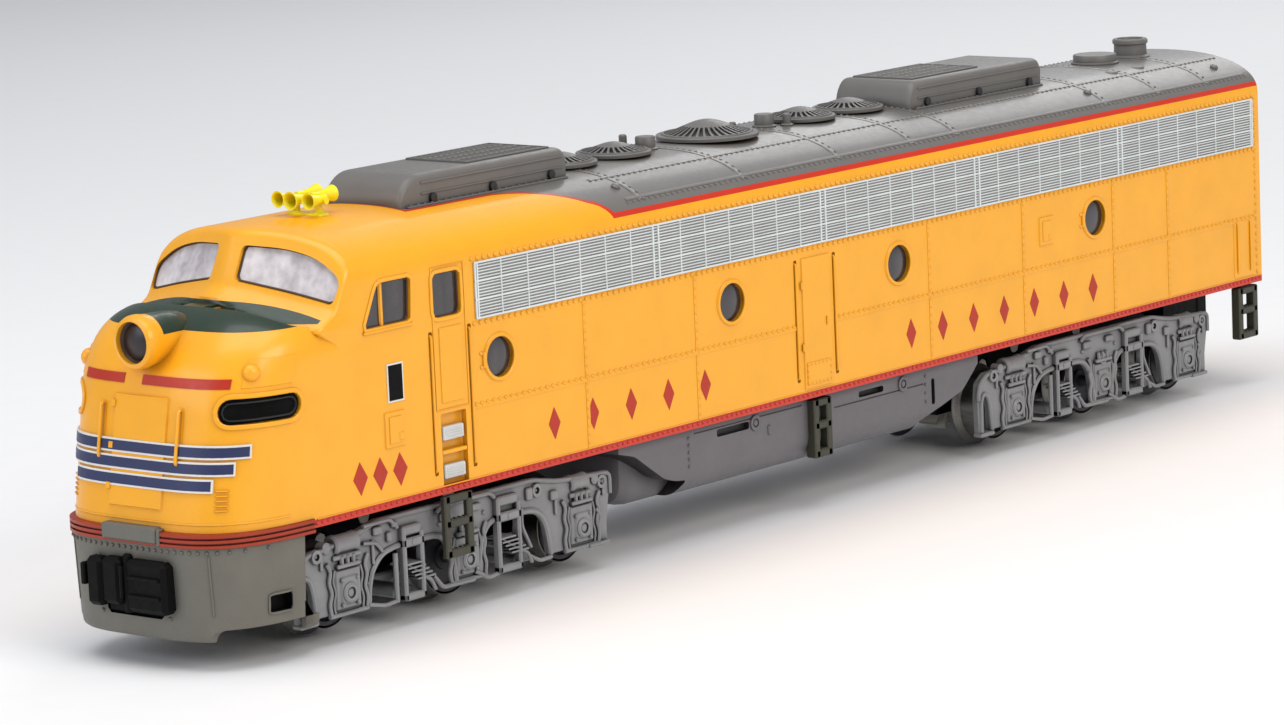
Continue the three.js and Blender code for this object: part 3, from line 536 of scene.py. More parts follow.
class Graph:
    """A material whose nodes work in rail millimetres, fixed to the piece."""

    def __init__(self, name, **constants):
        self.material = bpy.data.materials.new(name)
        self.material.use_nodes = True
        self.tree = self.material.node_tree
        self.shader = self.tree.nodes["Principled BSDF"]
        for socket, value in constants.items():
            self.shader.inputs[socket.replace("_", " ")].default_value = value
        place = self.tree.nodes.new("ShaderNodeTexCoord").outputs["Object"]
        shifted = self.vector("SUBTRACT", place, tuple(ORIGIN))
        self.place = self.vector("SCALE", shifted, scale=1 / MM)

    def link(self, value, socket):
        if isinstance(value, bpy.types.NodeSocket):
            self.tree.links.new(value, socket)
        elif socket.type == "VECTOR":
            socket.default_value = value[:3]
        else:
            socket.default_value = value

    def vector(self, operation, a, b=None, scale=None):
        node = self.tree.nodes.new("ShaderNodeVectorMath")
        node.operation = operation
        self.link(a, node.inputs[0])
        if b is not None:
            self.link(b, node.inputs[1])
        if scale is not None:
            node.inputs["Scale"].default_value = scale
        return node.outputs[0]

    def shaded(self, base, share):
        """A colour scaled by a number."""
        node = self.tree.nodes.new("ShaderNodeVectorMath")
        node.operation = "SCALE"
        self.link(base, node.inputs[0])
        self.link(share, node.inputs["Scale"])
        return node.outputs[0]

    def math(self, operation, a, b=0.0):
        node = self.tree.nodes.new("ShaderNodeMath")
        node.operation = operation
        self.link(a, node.inputs[0])
        self.link(b, node.inputs[1])
        return node.outputs[0]

    def axes(self):
        node = self.tree.nodes.new("ShaderNodeSeparateXYZ")
        self.link(self.place, node.inputs[0])
        return node.outputs

    def both(self, *masks):
        made = masks[0]
        for mask in masks[1:]:
            made = self.math("MULTIPLY", made, mask)
        return made

    def above(self, value, limit):
        return self.math("GREATER_THAN", value, limit)

    def below(self, value, limit):
        return self.math("LESS_THAN", value, limit)

    def mix(self, share, a, b):
        node = self.tree.nodes.new("ShaderNodeMix")
        node.data_type = "RGBA"
        self.link(share, node.inputs[0])
        self.link(a, node.inputs[6])
        self.link(b, node.inputs[7])
        return node.outputs[2]

    def noise(self, scale, detail=3.0, stretch=None):
        node = self.tree.nodes.new("ShaderNodeTexNoise")
        node.inputs["Scale"].default_value = scale
        node.inputs["Detail"].default_value = detail
        place = self.place if stretch is None else self.vector("MULTIPLY", self.place, stretch)
        self.link(place, node.inputs["Vector"])
        return node.outputs["Fac"]

    def between(self, value, low, high, to_low=0.0, to_high=1.0):
        node = self.tree.nodes.new("ShaderNodeMapRange")
        for socket, number in zip(node.inputs, (value, low, high, to_low, to_high)):
            self.link(number, socket)
        return node.outputs[0]

    def curve(self, value, points):
        """A smooth curve through (0 to 1, 0 to 1) points."""
        node = self.tree.nodes.new("ShaderNodeFloatCurve")
        line = node.mapping.curves[0]
        line.points[0].location = points[0]
        line.points[1].location = points[-1]
        for point in points[1:-1]:
            line.points.new(*point)
        for point in line.points:
            point.handle_type = "VECTOR"
        node.mapping.update()
        self.link(value, node.inputs["Value"])
        return node.outputs[0]

    def crevice(self, distance):
        """Near 1 in the open and near 0 in a corner narrower than a distance in millimetres."""
        node = self.tree.nodes.new("ShaderNodeAmbientOcclusion")
        node.samples = 6
        node.inputs["Distance"].default_value = distance * MM
        return node.outputs["AO"]

    def bump(self, height, depth):
        node = self.tree.nodes.new("ShaderNodeBump")
        node.inputs["Strength"].default_value = 1.0
        node.inputs["Distance"].default_value = depth * MM
        self.link(height, node.inputs["Height"])
        return node.outputs["Normal"]

    def done(self, base, roughness, normal=None):
        self.link(base, self.shader.inputs["Base Color"])
        self.link(roughness, self.shader.inputs["Roughness"])
        if normal is not None:
            self.link(normal, self.shader.inputs["Normal"])
        return self.material


def finish_paint(graph, base, rough, mottle=0.06, grain=0.008, crevice=0.0, painted_shade="201c18"):
    """The moulded and sprayed surface shared by the painted parts: mottle, grain and painted shade in the
    corners.
    """
    cloud = graph.noise(0.35, 4.0)
    speck = graph.noise(9.0, 2.0)
    shade = graph.between(cloud, 0.3, 0.7, 1 - mottle, 1 + mottle)
    fine = graph.between(speck, 0.25, 0.75, 1 - mottle * 0.6, 1 + mottle * 0.6)
    tint = graph.math("MULTIPLY", shade, fine)
    made = graph.shaded(base, tint)
    # Painted shade: corners and creases are darkened towards the shade colour by ambient occlusion.
    if crevice:
        open_share = graph.between(graph.crevice(0.9), 0.25, 0.95, 1.0, 0.0)
        made = graph.mix(graph.math("MULTIPLY", open_share, crevice), made, colour(painted_shade))
    roughness = graph.between(graph.noise(2.2, 3.0), 0.3, 0.7, rough - 0.05, rough + 0.07)
    return graph.done(made, roughness, graph.bump(graph.noise(14.0, 2.0), grain))


def paint(name, code, rough=0.42, crevice=0.5, mottle=0.06, grain=0.008, painted_shade="201c18", **constants):
    graph = Graph(name, **constants)
    return finish_paint(graph, colour(code), rough, mottle, grain, crevice, painted_shade)


YELLOW = "fbae14"
YELLOW_COAT = {"Coat_Weight": 0.25, "Coat_Roughness": 0.12}
ROOF_GREY = "6f6c69"
RED = "d02a04"
DECK_GREEN = "16301f"

# Where the grey roof meets the yellow cab, as (y, |x|): along the hatch, then out to the eaves.
ROOF_EDGE = [(-42, 4.15), (-32.6, 4.2), (-31.2, 4.55), (-29.9, 5.1), (-28.2, 6.2), (-27, 7.1), (-26.1, 7.8)]
ROOF_EDGE += [(-25.2, 8.25), (-24.6, 8.7), (-24.1, 9.05), (-23.6, 9.3), (-23.3, 9.9)]


ROOF_RED_LINE = 0.36
# Dark green from "low" up to a bowed edge, which steps up ahead of "front"; "back" and "half" close it.
GLARE = {"low": 22.62, "high": 24.05, "bow": 0.0155, "rise": 0.6, "front": -58.25, "back": -54.6, "half": 8.9}
# The yellow web that parts the green in the middle, and the yellow round the headlight.
WEB = {"half": 1.25, "front": -59.9, "top": 23.6}
LAMP_RING = {"radius": 2.1, "back": -64.5}


def shell_paint():
    """The body's paint scheme: yellow, grey roof, red lines, and dark green ahead of the windshield."""
    graph = Graph("shell_paint", **YELLOW_COAT)
    x, y, z = graph.axes()

    def square(value):
        return graph.math("POWER", value, 2.0)

    across = graph.math("ABSOLUTE", x)
    start, span, reach = ROOF_EDGE[0][0], 20.0, 12.0
    share = graph.math("DIVIDE", graph.math("ADD", y, -start), span)
    curve = graph.curve(share, [((a - start) / span, b / reach) for a, b in ROOF_EDGE])
    over = graph.math("SUBTRACT", across, graph.math("MULTIPLY", curve, reach))
    red_roof = graph.both(graph.below(over, ROOF_RED_LINE), graph.above(y, start), graph.above(z, 25.8))
    grey = graph.both(graph.below(over, 0.0), graph.above(y, start + ROOF_RED_LINE), graph.above(z, 26.2))
    sill = graph.both(graph.below(z, 9.02), graph.above(y, ANTICLIMBER["end"]))
    drop = graph.math("MULTIPLY", square(across), GLARE["bow"])
    lift = graph.math("MULTIPLY", graph.below(y, GLARE["front"]), GLARE["rise"])
    high = graph.math("SUBTRACT", graph.math("ADD", lift, GLARE["high"]), drop)
    web = graph.both(graph.below(across, WEB["half"]), graph.above(y, WEB["front"]),
                     graph.below(z, WEB["top"]))
    from_lens = graph.math("ADD", square(x), square(graph.math("SUBTRACT", z, HEADLIGHT_Z)))
    near_lens = graph.below(graph.math("SQRT", from_lens), LAMP_RING["radius"])
    ring = graph.both(near_lens, graph.below(y, LAMP_RING["back"]))
    outside = graph.math("SUBTRACT", 1.0, graph.math("MAXIMUM", web, ring))
    glare = graph.both(graph.above(z, GLARE["low"]), graph.below(z, high), graph.below(y, GLARE["back"]),
                       graph.below(across, GLARE["half"]), outside)
    base = graph.mix(graph.math("MAXIMUM", red_roof, sill), colour(YELLOW), colour(RED))
    base = graph.mix(grey, base, colour(ROOF_GREY))
    base = graph.mix(glare, base, colour(DECK_GREEN))
    # Corners and creases get painted shade towards 4a2a08.
    return finish_paint(graph, base, 0.36, 0.035, 0.004, 0.45, "4a2a08")


def glass(name, code, rough, reflection_streak, **constants):
    """Clear plastic with its look painted in: a base colour that is painted shade of the dark inside for the
    side windows and a pale painted reflection for the windshield, soft vertical streaks of painted
    reflection, and a hard gloss.
    """
    graph = Graph(name, Coat_Weight=0.6, Coat_Roughness=0.04, **constants)
    bands = graph.noise(0.7, 2.0, (1, 1, 0.12))
    cloud = graph.noise(1.6, 4.0)
    share = graph.between(graph.math("ADD", bands, graph.math("MULTIPLY", cloud, 0.5)), 0.55, 0.95)
    base = graph.mix(share, colour(code), colour(reflection_streak))
    return graph.done(base, graph.between(cloud, 0.3, 0.7, rough, rough + 0.1))


def brushed(name, code, rough, stretch, metallic=1.0, painted_shade=0.4):
    """Turned or drawn metal, with fine lines along one direction and painted shade in its corners."""
    graph = Graph(name, Metallic=metallic)
    lines = graph.noise(6.0, 3.0, stretch)
    shade = graph.between(lines, 0.3, 0.7, 0.82, 1.12)
    # Painted shade: corners are darkened towards 15130f by ambient occlusion.
    open_share = graph.between(graph.crevice(0.8), 0.25, 0.95, painted_shade, 0.0)
    base = graph.mix(open_share, graph.shaded(colour(code), shade), colour("15130f"))
    return graph.done(base, graph.between(lines, 0.3, 0.7, rough, rough + 0.15), graph.bump(lines, 0.004))


def circuit_board():
    graph = Graph("circuit_board", Coat_Weight=0.3)
    node = graph.tree.nodes.new("ShaderNodeTexBrick")
    graph.link(graph.place, node.inputs["Vector"])
    node.inputs["Scale"].default_value = 0.6
    node.inputs["Mortar Size"].default_value = 0.03
    base = graph.mix(node.outputs["Fac"], colour("1f5a33"), colour("b48a3c"))
    return graph.done(base, graph.between(graph.noise(2.0), 0.3, 0.7, 0.3, 0.5))


# In each paint(), the number after the roughness sets how strongly painted shade darkens its corners, and the
# second colour, where given, is that shade's colour.
FINISH = {
    "shell": shell_paint(),
    "yellow": paint("yellow_paint", YELLOW, 0.36, 0.45, 0.035, 0.004, "4a2a08", **YELLOW_COAT),
    "red_band": paint("anticlimber_red", "a2300e", 0.4, 0.85, 0.08, painted_shade="3a1208"),
    "green": paint("deck_green", DECK_GREEN, 0.4, 0.6, 0.05, 0.004, "050b07"),
    "roof": paint("roof_grey", ROOF_GREY, 0.42, 0.75, 0.05, 0.006, "1a1917"),
    "truck": paint("truck_grey", "8a8b8d", 0.4, 1.0, 0.1, 0.012, "0b0a0c"),
    "tank": paint("tank_grey", "6b696d", 0.45, 0.7, 0.05, 0.008, "17161a"),
    "olive": paint("underframe_olive", "6c6960", 0.5, 0.7, 0.07, 0.01, "14130f"),
    "step": paint("step_olive", "3f3e32", 0.5, 0.6, 0.08, 0.01, "0e0d08"),
    "black": paint("black_plastic", "040404", 0.6, 0.3, 0.15, 0.01, "010101", Specular_IOR_Level=0.15),
    # Dark grey for small parts, also used as painted shade inside the shell, in wells and bores and on cut
    # faces.
    "dark": paint("dark_grey_and_painted_shade", "2b2a2c", 0.5, 0.4, 0.12, 0.01, "060606"),
    "horn": paint("horn_yellow", "f6ea14", 0.32, 0.35, 0.04, 0.004, "8a6a00"),
    "silver": paint("silver_tread", "d9dad8", 0.5, 0.4, 0.1, 0.02, "50504c"),
    "grille": paint("grille_white", "dfe5e6", 0.4, 0.25, 0.05, 0.004, "6a6a66"),
    "grille_back": paint("grille_shadow", "8b8884", 0.55, 0.5, 0.08, 0.01, "3a3835"),
    # Glazing colours are painted: the side windows dark for the shade of the inside, the windshield pale for
    # a reflection, both with lighter streaks of painted reflection; the light pipe uses the pale one as its
    # own milky colour.
    "shade_painted": glass("shade_painted_glazing", "141013", 0.12, "3b3437"),
    "milky_and_painted_reflection": glass("milky_and_painted_reflection_windshield", "b5adb2", 0.16, "e6e0e2"),
    # The headlight lens is painted dark for the shade of the bore behind it.
    "lens": paint("headlight_lens_shade_painted", "2a2224", 0.34, 0.2, 0.12, 0.006, "080607"),
    # Thin dark edges of painted shadow where panes and the lens sink into their openings.
    "shadow_edge": paint("window_shadow_edge", "4a3420", 0.5, 0.2, 0.1, 0.004, "060606"),
    "mark_red": paint("mark_red", "b82806", 0.4, 0.1, 0.06, 0.003),
    "mark_navy": paint("mark_navy", "262f58", 0.4, 0.1, 0.08, 0.003),
    "mark_white": paint("mark_white", "e6e2dc", 0.4, 0.1, 0.05, 0.003),
    "wheel": brushed("wheel_metal", "8d8b88", 0.32, (0.2, 1, 1)),
    "wheel_face": paint("wheel_face_black", "3b3a3f", 0.45, 0.8, 0.1, 0.01, "0c0b0d"),
    "steel": brushed("plated_steel", "b0b2b4", 0.25, (1, 0.15, 1)),
    "brass": brushed("flywheel_brass", "c39a4a", 0.25, (1, 0.2, 1)),
    "cast": brushed("cast_chassis", "8f9193", 0.4, (1, 1, 1), 0.85),
    "nylon": paint("gear_nylon", "d8d4c6", 0.5, 0.5, 0.06, 0.006, "4a4436", Subsurface_Weight=0.1),
    "board": circuit_board(),
}


# ---- Body shell ----
WINDSHIELD = {"y": -57.4, "z": 24.63, "rake": 0.5, "sweep": 0.32, "lip": 25.0, "lip_slope": 0.19}
FLARE = {"slope": 1.3, "reach": 1.25, "softness": 0.12}
CAB_FRONT = {"limit": -58.2, "from": 20.4, "height": 2.0, "reach": 2.2}
PILLAR = 0.45
NOSE_PEAK = (0.0, -57.0, 24.45)
PANES = [(1.15, 25.2), (5.4, 24.45), (8.98, 23.66), (9.12, 25.4), (7.05, 26.8), (4.45, 27.45), (1.1, 27.65)]
PANE_CORNERS = [0.35, 1.5, 0.5, 0.7, 1.2, 1.2, 0.45]
PANE_DEPTH = (-60, -53)
CAB_WINDOW = [(-52.2, 21.6), (-47.4, 21.6), (-47.2, 24.7), (-50.7, 24.7)]
DOOR_WINDOW = [(-44.9, 21.3), (-41.95, 21.3), (-41.95, 24.5), (-44.9, 24.5)]
SIDE_WINDOWS = ((CAB_WINDOW, [0.3, 0.3, 0.3, 0.5]), (DOOR_WINDOW, 0.45))
HANDRAILS = ((-45.35, 20.1), (-41.15, 20.1), (-2.75, 19.3), (2.2, 19.3))
HANDRAIL_FOOT = 10.2
LADDER = {"front": -44.65, "rear": -41.9, "bottom": 8.9, "top": 14.3, "depth": 0.55}
SEAMS = (-28.3, -15.2, 14.85, 28.0, 41.2, 49.5)
UNDER_GRILLE = 20.2
RECESS_FLOOR = 22.0
SHELL, PLAIN, BAND, BLOCK, TREAD, SHADOW, DECK = range(7)
BODY_FINISHES = [FINISH[key] for key in ("shell", "yellow", "red_band", "olive", "silver", "dark", "green")]


def windshield_y(x, z, back=0.0):
    """The raked V of the windshields: rounded where its planes meet, and flared forward below its panes."""
    across = math.sqrt(x * x + 0.2)
    under = (WINDSHIELD["lip"] - WINDSHIELD["lip_slope"] * across - z) / FLARE["softness"]
    flare = FLARE["slope"] * FLARE["softness"] * math.log1p(math.exp(min(under, 30)))
    plane = WINDSHIELD["y"] + WINDSHIELD["rake"] * (z - WINDSHIELD["z"]) + WINDSHIELD["sweep"] * across
    return plane - min(flare, FLARE["reach"]) + back


def front_limit(z):
    """How far forward the cab's corners may reach at a height: further above the nose's cheeks."""
    share = min(max((z - CAB_FRONT["from"]) / CAB_FRONT["height"], 0), 1)
    return NOSE_ROOT_Y - CAB_FRONT["reach"] * share * share * (3 - 2 * share)


def section(inset_by, floor, columns):
    """The body's outline in (x, z): up the left wall, over the roof, down the right, and back below."""
    half = HALF_WIDTH - inset_by
    levels = [*np.linspace(floor, 20.0, 4), *np.linspace(20.4, SHOULDER_Z, 25)[:-1]]
    wall = [(half, float(z)) for z in levels]
    crown = [arch(t, inset_by) for t in np.linspace(0, 1, 41)]
    under = [(float(x), floor) for x in np.linspace(-half, half, columns + 1)[1:-1]]
    return wall + crown + [(-x, z) for x, z in wall[::-1]], under


def long_body(inset_by, rear, floor, columns=20):
    """The straight body with its arched roof, ending in the raked V of the windshields."""
    rings = []
    turns = [0, 22, 45, 68, 90] if not inset_by else [90]
    levels = [(0.0, None)] + [(math.radians(a), a) for a in turns]
    for turn, at_front in levels:
        shrink = PILLAR * (1 - math.cos(turn)) if at_front is not None else 0.0
        outline, under = section(inset_by + shrink, floor, columns)
        edge = PILLAR * (1 - math.sin(turn))
        ring = []
        for x, z in outline + under:
            y = max(windshield_y(x, z, inset_by * 1.1), front_limit(z) + inset_by) + edge
            ring.append((x, rear if at_front is None else y, z))
        rings.append(ring)
    points = [p for ring in rings for p in ring]
    size, count = len(rings[0]), len(outline)
    faces = ring_faces(len(rings), size)[:-1]
    last = (len(rings) - 1) * size
    row = [last] + [last + size - 1 - i for i in range(columns - 1)] + [last + count - 1]
    for level in range(1, count // 2):
        left, right = last + level, last + count - 1 - level
        z = points[left][2]
        middle = []
        for k in range(1, columns):
            x = points[left][0] * (1 - 2 * k / columns)
            middle.append(len(points))
            points.append((x, max(windshield_y(x, z, inset_by * 1.1), CAB_FRONT["limit"] + inset_by), z))
        above = [left] + middle + [right]
        faces += [(row[k], above[k], above[k + 1], row[k + 1]) for k in range(columns)]
        row = above
    crown = last + count // 2
    faces += [(row[k], crown, row[k + 1]) for k in range(columns)]
    return points, faces


def nose_solid(inset_by, floor, back, steps=72):
    """The rounded nose from the floor up, closed over the top and reaching back into the body."""
    rings = []
    upper = 0.55 + 0.45 * np.sin(np.linspace(0.08, 0.5, 16) * math.pi)
    for share in np.concatenate([np.linspace(0, 0.55, 5), upper]):
        ring = []
        for t in np.linspace(0, 1, steps + 1):
            top = NOSE_TOP["cheek"] + NOSE_TOP["rise"] * math.sin(math.pi * t) ** 2 - inset_by
            ring.append(nose_at(float(t), floor + float(share) * (top - floor), inset_by))
        ring += [(ring[-1][0], back, ring[-1][2]), (ring[0][0], back, ring[0][2])]
        rings.append(ring)
    rim = rings[-1]
    peak = (NOSE_PEAK[0], NOSE_PEAK[1], NOSE_PEAK[2] - inset_by)
    for share in (0.86, 0.7, 0.52, 0.34, 0.16, 0.03):
        rings.append([
            (x * share, peak[1] + (y - peak[1]) * share, peak[2] + (z - peak[2]) * share * share)
            for x, y, z in rim
        ])
    return loft(rings)


def stadium(half_length, half_height, count=8):
    """A slot with round ends, centred on (0, 0)."""
    straight = half_length - half_height
    points = []
    for end in (1, -1):
        for k in range(count + 1):
            a = math.pi * (k / count - 0.5)
            points.append((end * (straight + half_height * math.cos(a)), end * half_height * math.sin(a)))
    return points


def number_slot(side, grow=0.0):
    """The number board's outline on the nose, as (s, z)."""
    run = [nose_run(side * NUMBER_BOARD[end]) for end in ("from", "to")]
    middle, half = sum(run) / 2, abs(run[1] - run[0]) / 2
    return [(middle + u, NUMBER_BOARD["z"] + v) for u, v in stadium(half + grow, NUMBER_BOARD["half"] + grow)]


def nose_core():
    """The hollow inside the nose, which stops below the recess."""
    rings = []
    for z in (SILL_Z - 2, 12, 16, 19, RECESS_FLOOR - 1.2):
        curve = [nose_at(float(t), z, WALL) for t in np.linspace(0, 1, 49)]
        rings.append(curve + [(curve[-1][0], -54.5, z), (curve[0][0], -54.5, z)])
    return loft(rings)


def recess_outline():
    """The sunken deck in front of the windshields, in (x, y): a bowed front edge, straight at the back."""
    front = []
    for k in range(33):
        share = math.cos(math.pi * k / 32)
        bow = 4.0 * (1 - abs(share) ** 3) ** (1 / 3)
        front.append((8.5 * share, -56.1 - bow))
    return front + [(-8.5, -52.0), (8.5, -52.0)]


def headlight_housing():
    """The round headlight housing that fairs back into the top of the nose."""
    profile = [(0, -66.0), (1.62, -65.95), (1.8, -65.85), (1.92, -65.55), (1.94, -65.1), (1.86, -64.7)]
    profile += [(1.84, -63.6), (1.8, -62.6), (1.62, -61.4), (1.2, -60.4), (0, -59.8)]
    return lathe("y", (0, 0, HEADLIGHT_Z), profile, 48)


def shell_openings():
    """Everything cut through or into the outside of the shell."""
    work = Piece("openings")
    bore = [(0, -67), (1.5, -67), (1.5, -64.6), (0, -64.6)]
    work.add(lathe("y", (0, 0, HEADLIGHT_Z), bore, 40), slot=PLAIN)
    for side in SIDES.values():
        pane = [(side * x, z) for x, z in rounded(PANES, PANE_CORNERS)]
        work.add(prism("y", pane, *PANE_DEPTH), slot=SHELL)
        outer, inner = side * (HALF_WIDTH + 1), side * (HALF_WIDTH - 1.6)
        for outline, radius in SIDE_WINDOWS:
            work.add(prism("x", rounded(outline, radius), inner, outer), slot=SHELL)
        r = PORTHOLES["radius"]
        for y in PORTHOLES["at"]:
            hole = [(0, inner), (r, inner), (r, outer), (0, outer)]
            work.add(lathe("x", (0, y, PORTHOLES["z"]), hole, 40), slot=SHELL)
        front, rear, bottom, top, depth = LADDER.values()
        work.add(side_box(side, -depth, 1, front, rear, bottom, top, 0.1), slot=SHELL)
        for y, high in HANDRAILS:
            low = HANDRAIL_FOOT - 0.3
            work.add(side_box(side, -0.3, 1, y - 0.2, y + 0.2, low, high + 0.3, 0.08), slot=SHELL)
        slot = number_slot(side)
        work.add(loft([lifted(nose_face, slot, -0.4), lifted(nose_face, slot, 1.8)]), slot=SHELL)
    return work


def shell_solid():
    """The hollow shell: the nose with its sunken deck, the body joined on, and all openings cut."""
    base = Piece("locomotive_body_shell", *BODY_FINISHES)
    base.add(nose_solid(0, SILL_Z, -53.0), slot=SHELL)
    web = [(1.0, -59.95), (1.3, -55), (-1.3, -55), (-1.0, -59.95)]
    solids = (
        ("DIFFERENCE", prism("z", recess_outline(), RECESS_FLOOR, 27.0), DECK),
        ("UNION", prism("z", web, 20, 23.8), SHELL),
        ("UNION", long_body(0, REAR_Y, SILL_Z), SHELL),
        ("UNION", headlight_housing(), SHELL),
        ("DIFFERENCE", long_body(WALL, REAR_Y - WALL, SILL_Z - 2), SHADOW),
        ("DIFFERENCE", nose_core(), SHADOW),
    )
    tools = [(operation, Piece("tool").add(shape, slot=slot)) for operation, shape, slot in solids]
    return carved(base, *tools, ("DIFFERENCE", shell_openings()))


def anticlimber_band():
    """The ridged red band round the foot of the nose."""
    band = ANTICLIMBER
    start = math.asin(((NOSE_ROOT_Y - band["end"]) / band["depth"]) ** (NOSE_POWER / 2)) / math.pi
    groove, height = 0.16, band["top"] - band["bottom"]
    section_points = [(-0.9, band["top"]), (-0.9, band["bottom"])]
    for ridge in range(3):
        low = band["bottom"] + height * ridge / 3
        high = band["bottom"] + height * (ridge + 1) / 3
        section_points += [(-groove, low + 0.02), (0, low + 0.07), (0, high - 0.09), (-groove, high - 0.04)]
    rings = []
    for t in np.linspace(start, 1 - start, 97):
        ring = []
        for out, z in section_points:
            x = (band["half"] + out) * squared(math.cos(math.pi * t), NOSE_POWER)
            y = NOSE_ROOT_Y - (band["depth"] + out) * squared(math.sin(math.pi * t), NOSE_POWER)
            ring.append((x, y, z))
        rings.append(ring)
    return loft(rings)


# Raised panels on each side: (y0, y1, z0, z1, height, edge), for the doors, hatches and their plates.
SIDE_PANELS = (
    (-2.1, 1.6, 9.2, 19.7, 0.1, 0.1), (-1.85, 1.35, 9.5, 11.4, 0.16, 0.08),
    (-44.5, -42.0, 15.0, 20.6, 0.07, 0.08),
    (-50.7, -48.5, 12.7, 15.4, 0.1, 0.1), (-50.3, -48.9, 13.0, 15.05, 0.17, 0.08),
    (30.2, 32.35, 16.1, 18.6, 0.1, 0.1), (30.6, 31.95, 16.45, 18.25, 0.16, 0.08),
    (59.6, 62.8, 9.15, 14.3, 0.07, 0.1),
)
# Hinges and latches on each side: (y0, y1, z0, z1, height).
SIDE_LATCHES = (
    (-2.25, -1.95, 12.3, 12.9, 0.2), (-2.25, -1.95, 17.2, 17.8, 0.2), (-49.3, -48.8, 13.2, 13.8, 0.22),
    (31.4, 31.8, 16.6, 17.1, 0.22),
)


def side_box(side, inner, outer, y0, y1, z0, z1, bevel=0.06):
    """A block on a long side, between two distances from its surface."""
    return box(side * (HALF_WIDTH + inner), side * (HALF_WIDTH + outer), y0, y1, z0, z1, bevel)


def side_details(work, side):
    """Seams, rivets, doors and hardware on one long side."""
    face = side_face(side)
    x, rear = side * HALF_WIDTH, 63.0

    def seam(path, width, height, closed=False):
        work.add(strip(face, path, width, height, None, closed=closed), slot=SHELL)

    for start, end in ((-41.0, -2.9), (2.4, rear)):
        seam([(start, BELT_Z - 0.16), (end, BELT_Z - 0.16)], 0.34, 0.05)
    rows = ((-40.8, -3.2, BELT_Z), (2.7, rear, BELT_Z), (-40.6, rear, 25.02), (-40.6, rear, 20.3))
    for start, end, z in rows:
        work.rivets(face, [(start, z), (end, z)])
    for y in SEAMS:
        seam([(y, 9.1), (y, UNDER_GRILLE)], 0.36, 0.06)
        work.rivets(face, [(y, 9.5), (y, UNDER_GRILLE - 0.3)])
    work.rivets(face, [(rear + 0.35, 9.4), (rear + 0.35, 24.8)])
    work.rivets(face, [(-58.05, 8.76), (REAR_Y - 0.3, 8.76)], 0.6, size=0.9)
    seam([(-58, 9.02), (REAR_Y - 0.2, 9.02)], 0.12, 0.07)
    seam(rectangle(-45.0, -41.5, 14.6, 25.0), 0.16, 0.07, closed=True)
    for y0, y1, z0, z1, height, edge in SIDE_PANELS:
        work.add(patch(face, y0, y1, z0, z1, height, edge, 99), slot=SHELL)
    for y0, y1, z0, z1, height in SIDE_LATCHES:
        work.add(side_box(side, 0, height, y0, y1, z0, z1), slot=PLAIN)
    for y, high in HANDRAILS:
        handrail(work, side, y, HANDRAIL_FOOT, high)

    r = PORTHOLES["radius"]
    ring = [(r, -0.25), (r, 0.1), (1.6, 0.15), (1.74, 0.13), (1.82, 0.02), (1.82, -0.25), (r, -0.25)]
    turned = [(radius, side * (HALF_WIDTH + d)) for radius, d in ring]
    for y in PORTHOLES["at"]:
        work.add(lathe("x", (0, y, PORTHOLES["z"]), turned, 40), slot=PLAIN)
    for y in (PORTHOLES["at"][0], PORTHOLES["at"][3]):
        work.add(side_box(side, -0.1, 0.16, y - 1.9, y - 1.62, 16.9, 18.1), slot=PLAIN)
        for z in (17.0, 18.0):
            work.rivets(face, [(y - 2.05, z), (y - 2.04, z)], 1)

    # Rivets round the centre door's kick plate, and its handle.
    plate = side_face(side, HALF_WIDTH + 0.15)
    work.rivets(plate, rectangle(-1.7, 1.2, 9.7, 11.2), 0.48, closed=True, size=0.7)
    handle = [(x + side * 0.04, 0.95, 14.0), (x + side * 0.16, 0.95, 14.1), (x + side * 0.16, 0.95, 14.7)]
    work.add(tube(handle, 0.08), slot=PLAIN)

    # Treads in the cab ladder's recess, and the bar between them.
    for low, high in ((12.3, 13.3), (9.5, 10.5)):
        work.add(side_box(side, 0.02 - LADDER["depth"], -0.02, -44.4, -42.15, low, high, 0.08), slot=TREAD)
        for k in range(4):
            z = low + 0.2 + 0.2 * k
            work.add(side_box(side, -0.1, 0.03, -44.2, -42.35, z - 0.04, z + 0.04, 0.02), slot=TREAD)
    work.add(side_box(side, -0.5, 0.02, -44.6, -41.95, 11.3, 11.6), slot=SHELL)
    window_trim(work, side)
    for y in (60.2, 62.2):
        grab = [(x, y, 9.6), (x + side * 0.14, y, 9.8), (x + side * 0.14, y, 14.0), (x, y, 14.2)]
        work.add(tube(bent(grab), 0.1), slot=PLAIN)


def handrail(work, side, y, low, high):
    """A round rail standing in a groove in the side, on small brackets."""
    x = side * (HALF_WIDTH + 0.06)
    root = side * (HALF_WIDTH - 0.35)
    work.add(tube(bent([(root, y, low), (x, y, low), (x, y, high), (root, y, high)], 0.2), 0.12), slot=PLAIN)
    for share in (0.33, 0.66):
        z = low + (high - low) * share
        work.add(box(root, x, y - 0.09, y + 0.09, z - 0.1, z + 0.1, 0.02), slot=PLAIN)


def window_trim(work, side):
    """The lips round the side windows and the sill under the cab window."""
    face = side_face(side)
    for outline, radius in SIDE_WINDOWS:
        lip = inset(rounded(outline, radius), -0.16)
        work.add(strip(face, lip, 0.3, 0.1, 0.5, closed=True), slot=SHELL)
    work.add(side_box(side, 0, 0.18, -52.4, -47.2, 21.2, 21.42), slot=SHELL)


